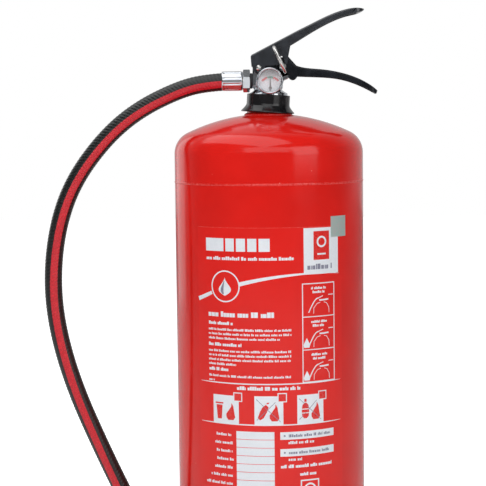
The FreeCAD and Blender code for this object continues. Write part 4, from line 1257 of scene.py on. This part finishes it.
def dress_nodes(scene):
    """Gives every CAD node the finish of its slot."""
    for part in frame["record"]["subparts"]:
        mesh = frame["nodes"][part["node"]].data
        mesh.materials.clear()
        mesh.materials.append(finishes[part["material_slot"]])


# ------------------------------------------------------------------ operators

def mix_finishes(scene):
    """Makes every finish before the pieces that wear them."""
    finishes.update(make_finishes(scene))


class EXTINGUISHER_OT_stage(bpy.types.Operator):
    """Floor, light and camera."""
    bl_idname = "extinguisher.stage"
    bl_label = "Stage"

    def execute(self, context):
        build_stage(context.scene)
        return {"FINISHED"}


class EXTINGUISHER_OT_finishes(bpy.types.Operator):
    """Every material."""
    bl_idname = "extinguisher.finishes"
    bl_label = "Finishes"

    def execute(self, context):
        mix_finishes(context.scene)
        return {"FINISHED"}


class EXTINGUISHER_OT_frame_finishes(bpy.types.Operator):
    """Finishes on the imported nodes."""
    bl_idname = "extinguisher.frame_finishes"
    bl_label = "Frame Finishes"

    def execute(self, context):
        dress_nodes(context.scene)
        return {"FINISHED"}


class EXTINGUISHER_OT_nozzle(bpy.types.Operator):
    """Nozzle grip and its sleeve."""
    bl_idname = "extinguisher.nozzle"
    bl_label = "Nozzle"

    def execute(self, context):
        build_nozzle(context.scene)
        return {"FINISHED"}


class EXTINGUISHER_OT_hose(bpy.types.Operator):
    """Striped hose."""
    bl_idname = "extinguisher.hose"
    bl_label = "Hose"

    def execute(self, context):
        build_hose(context.scene)
        return {"FINISHED"}


class EXTINGUISHER_OT_fittings(bpy.types.Operator):
    """Swivel nut and crimped sleeve."""
    bl_idname = "extinguisher.fittings"
    bl_label = "Hose Fittings"

    def execute(self, context):
        build_fittings(context.scene)
        return {"FINISHED"}


class EXTINGUISHER_OT_vessel(bpy.types.Operator):
    """Barrel and pressed heads."""
    bl_idname = "extinguisher.vessel"
    bl_label = "Vessel"

    def execute(self, context):
        build_vessel(context.scene)
        return {"FINISHED"}


class EXTINGUISHER_OT_welds(bpy.types.Operator):
    """Girth and neck weld beads."""
    bl_idname = "extinguisher.welds"
    bl_label = "Welds"

    def execute(self, context):
        build_welds(context.scene)
        return {"FINISHED"}


class EXTINGUISHER_OT_foot(bpy.types.Operator):
    """Foot ring and nozzle pocket."""
    bl_idname = "extinguisher.foot"
    bl_label = "Foot"

    def execute(self, context):
        build_foot(context.scene)
        return {"FINISHED"}


class EXTINGUISHER_OT_label(bpy.types.Operator):
    """Sleeve label and control sticker."""
    bl_idname = "extinguisher.label"
    bl_label = "Label"

    def execute(self, context):
        build_label(context.scene)
        return {"FINISHED"}


class EXTINGUISHER_OT_label_print(bpy.types.Operator):
    """Printed layers of the label."""
    bl_idname = "extinguisher.label_print"
    bl_label = "Label Print"

    def execute(self, context):
        build_print(context.scene)
        return {"FINISHED"}


class EXTINGUISHER_OT_valve(bpy.types.Operator):
    """Valve casting, neck socket and collar."""
    bl_idname = "extinguisher.valve"
    bl_label = "Valve"

    def execute(self, context):
        build_valve(context.scene)
        return {"FINISHED"}


class EXTINGUISHER_OT_grips(bpy.types.Operator):
    """Squeeze lever and carry handle."""
    bl_idname = "extinguisher.grips"
    bl_label = "Grips"

    def execute(self, context):
        build_grips(context.scene)
        return {"FINISHED"}


class EXTINGUISHER_OT_pull_ring(bpy.types.Operator):
    """Ring of the safety pin."""
    bl_idname = "extinguisher.pull_ring"
    bl_label = "Pull Ring"

    def execute(self, context):
        build_ring(context.scene)
        return {"FINISHED"}


class EXTINGUISHER_OT_gauge(bpy.types.Operator):
    """Gauge shell, rim and window."""
    bl_idname = "extinguisher.gauge"
    bl_label = "Gauge"

    def execute(self, context):
        build_gauge(context.scene)
        return {"FINISHED"}


class EXTINGUISHER_OT_dial(bpy.types.Operator):
    """Printed scale of the gauge."""
    bl_idname = "extinguisher.dial"
    bl_label = "Dial"

    def execute(self, context):
        build_dial(context.scene)
        return {"FINISHED"}


OPERATORS = [
    EXTINGUISHER_OT_stage,
    EXTINGUISHER_OT_finishes,
    EXTINGUISHER_OT_frame_finishes,
    EXTINGUISHER_OT_nozzle,
    EXTINGUISHER_OT_hose,
    EXTINGUISHER_OT_fittings,
    EXTINGUISHER_OT_vessel,
    EXTINGUISHER_OT_welds,
    EXTINGUISHER_OT_foot,
    EXTINGUISHER_OT_label,
    EXTINGUISHER_OT_label_print,
    EXTINGUISHER_OT_valve,
    EXTINGUISHER_OT_grips,
    EXTINGUISHER_OT_pull_ring,
    EXTINGUISHER_OT_gauge,
    EXTINGUISHER_OT_dial,
]


class EXTINGUISHER_PT_panel(bpy.types.Panel):
    """Lists the building steps and their settings."""
    bl_idname = "EXTINGUISHER_PT_panel"
    bl_label = "Extinguisher"
    bl_space_type = "VIEW_3D"
    bl_region_type = "UI"
    bl_category = "Extinguisher"

    def draw(self, context):
        for operator in OPERATORS:
            self.layout.operator(operator.bl_idname)
        for key, group in SETTINGS.items():
            box = self.layout.box()
            box.label(text=group.__name__)
            for name in group.__annotations__:
                box.prop(getattr(context.scene, key), name)


def register():
    """Registers the classes and hangs the settings on the scene."""
    for cls in [*SETTINGS.values(), *OPERATORS, EXTINGUISHER_PT_panel]:
        bpy.utils.register_class(cls)
    for key, group in SETTINGS.items():
        setattr(bpy.types.Scene, key, bpy.props.PointerProperty(type=group))


def unregister():
    """Takes the settings and the classes away again."""
    for key in SETTINGS:
        delattr(bpy.types.Scene, key)
    for cls in reversed([*SETTINGS.values(), *OPERATORS, EXTINGUISHER_PT_panel]):
        bpy.utils.unregister_class(cls)


def main():
    """Runs the operators in order."""
    register()
    for operator in OPERATORS:
        getattr(bpy.ops.extinguisher, operator.bl_idname.split(".")[1])()


if __name__ == "__main__":
    main()
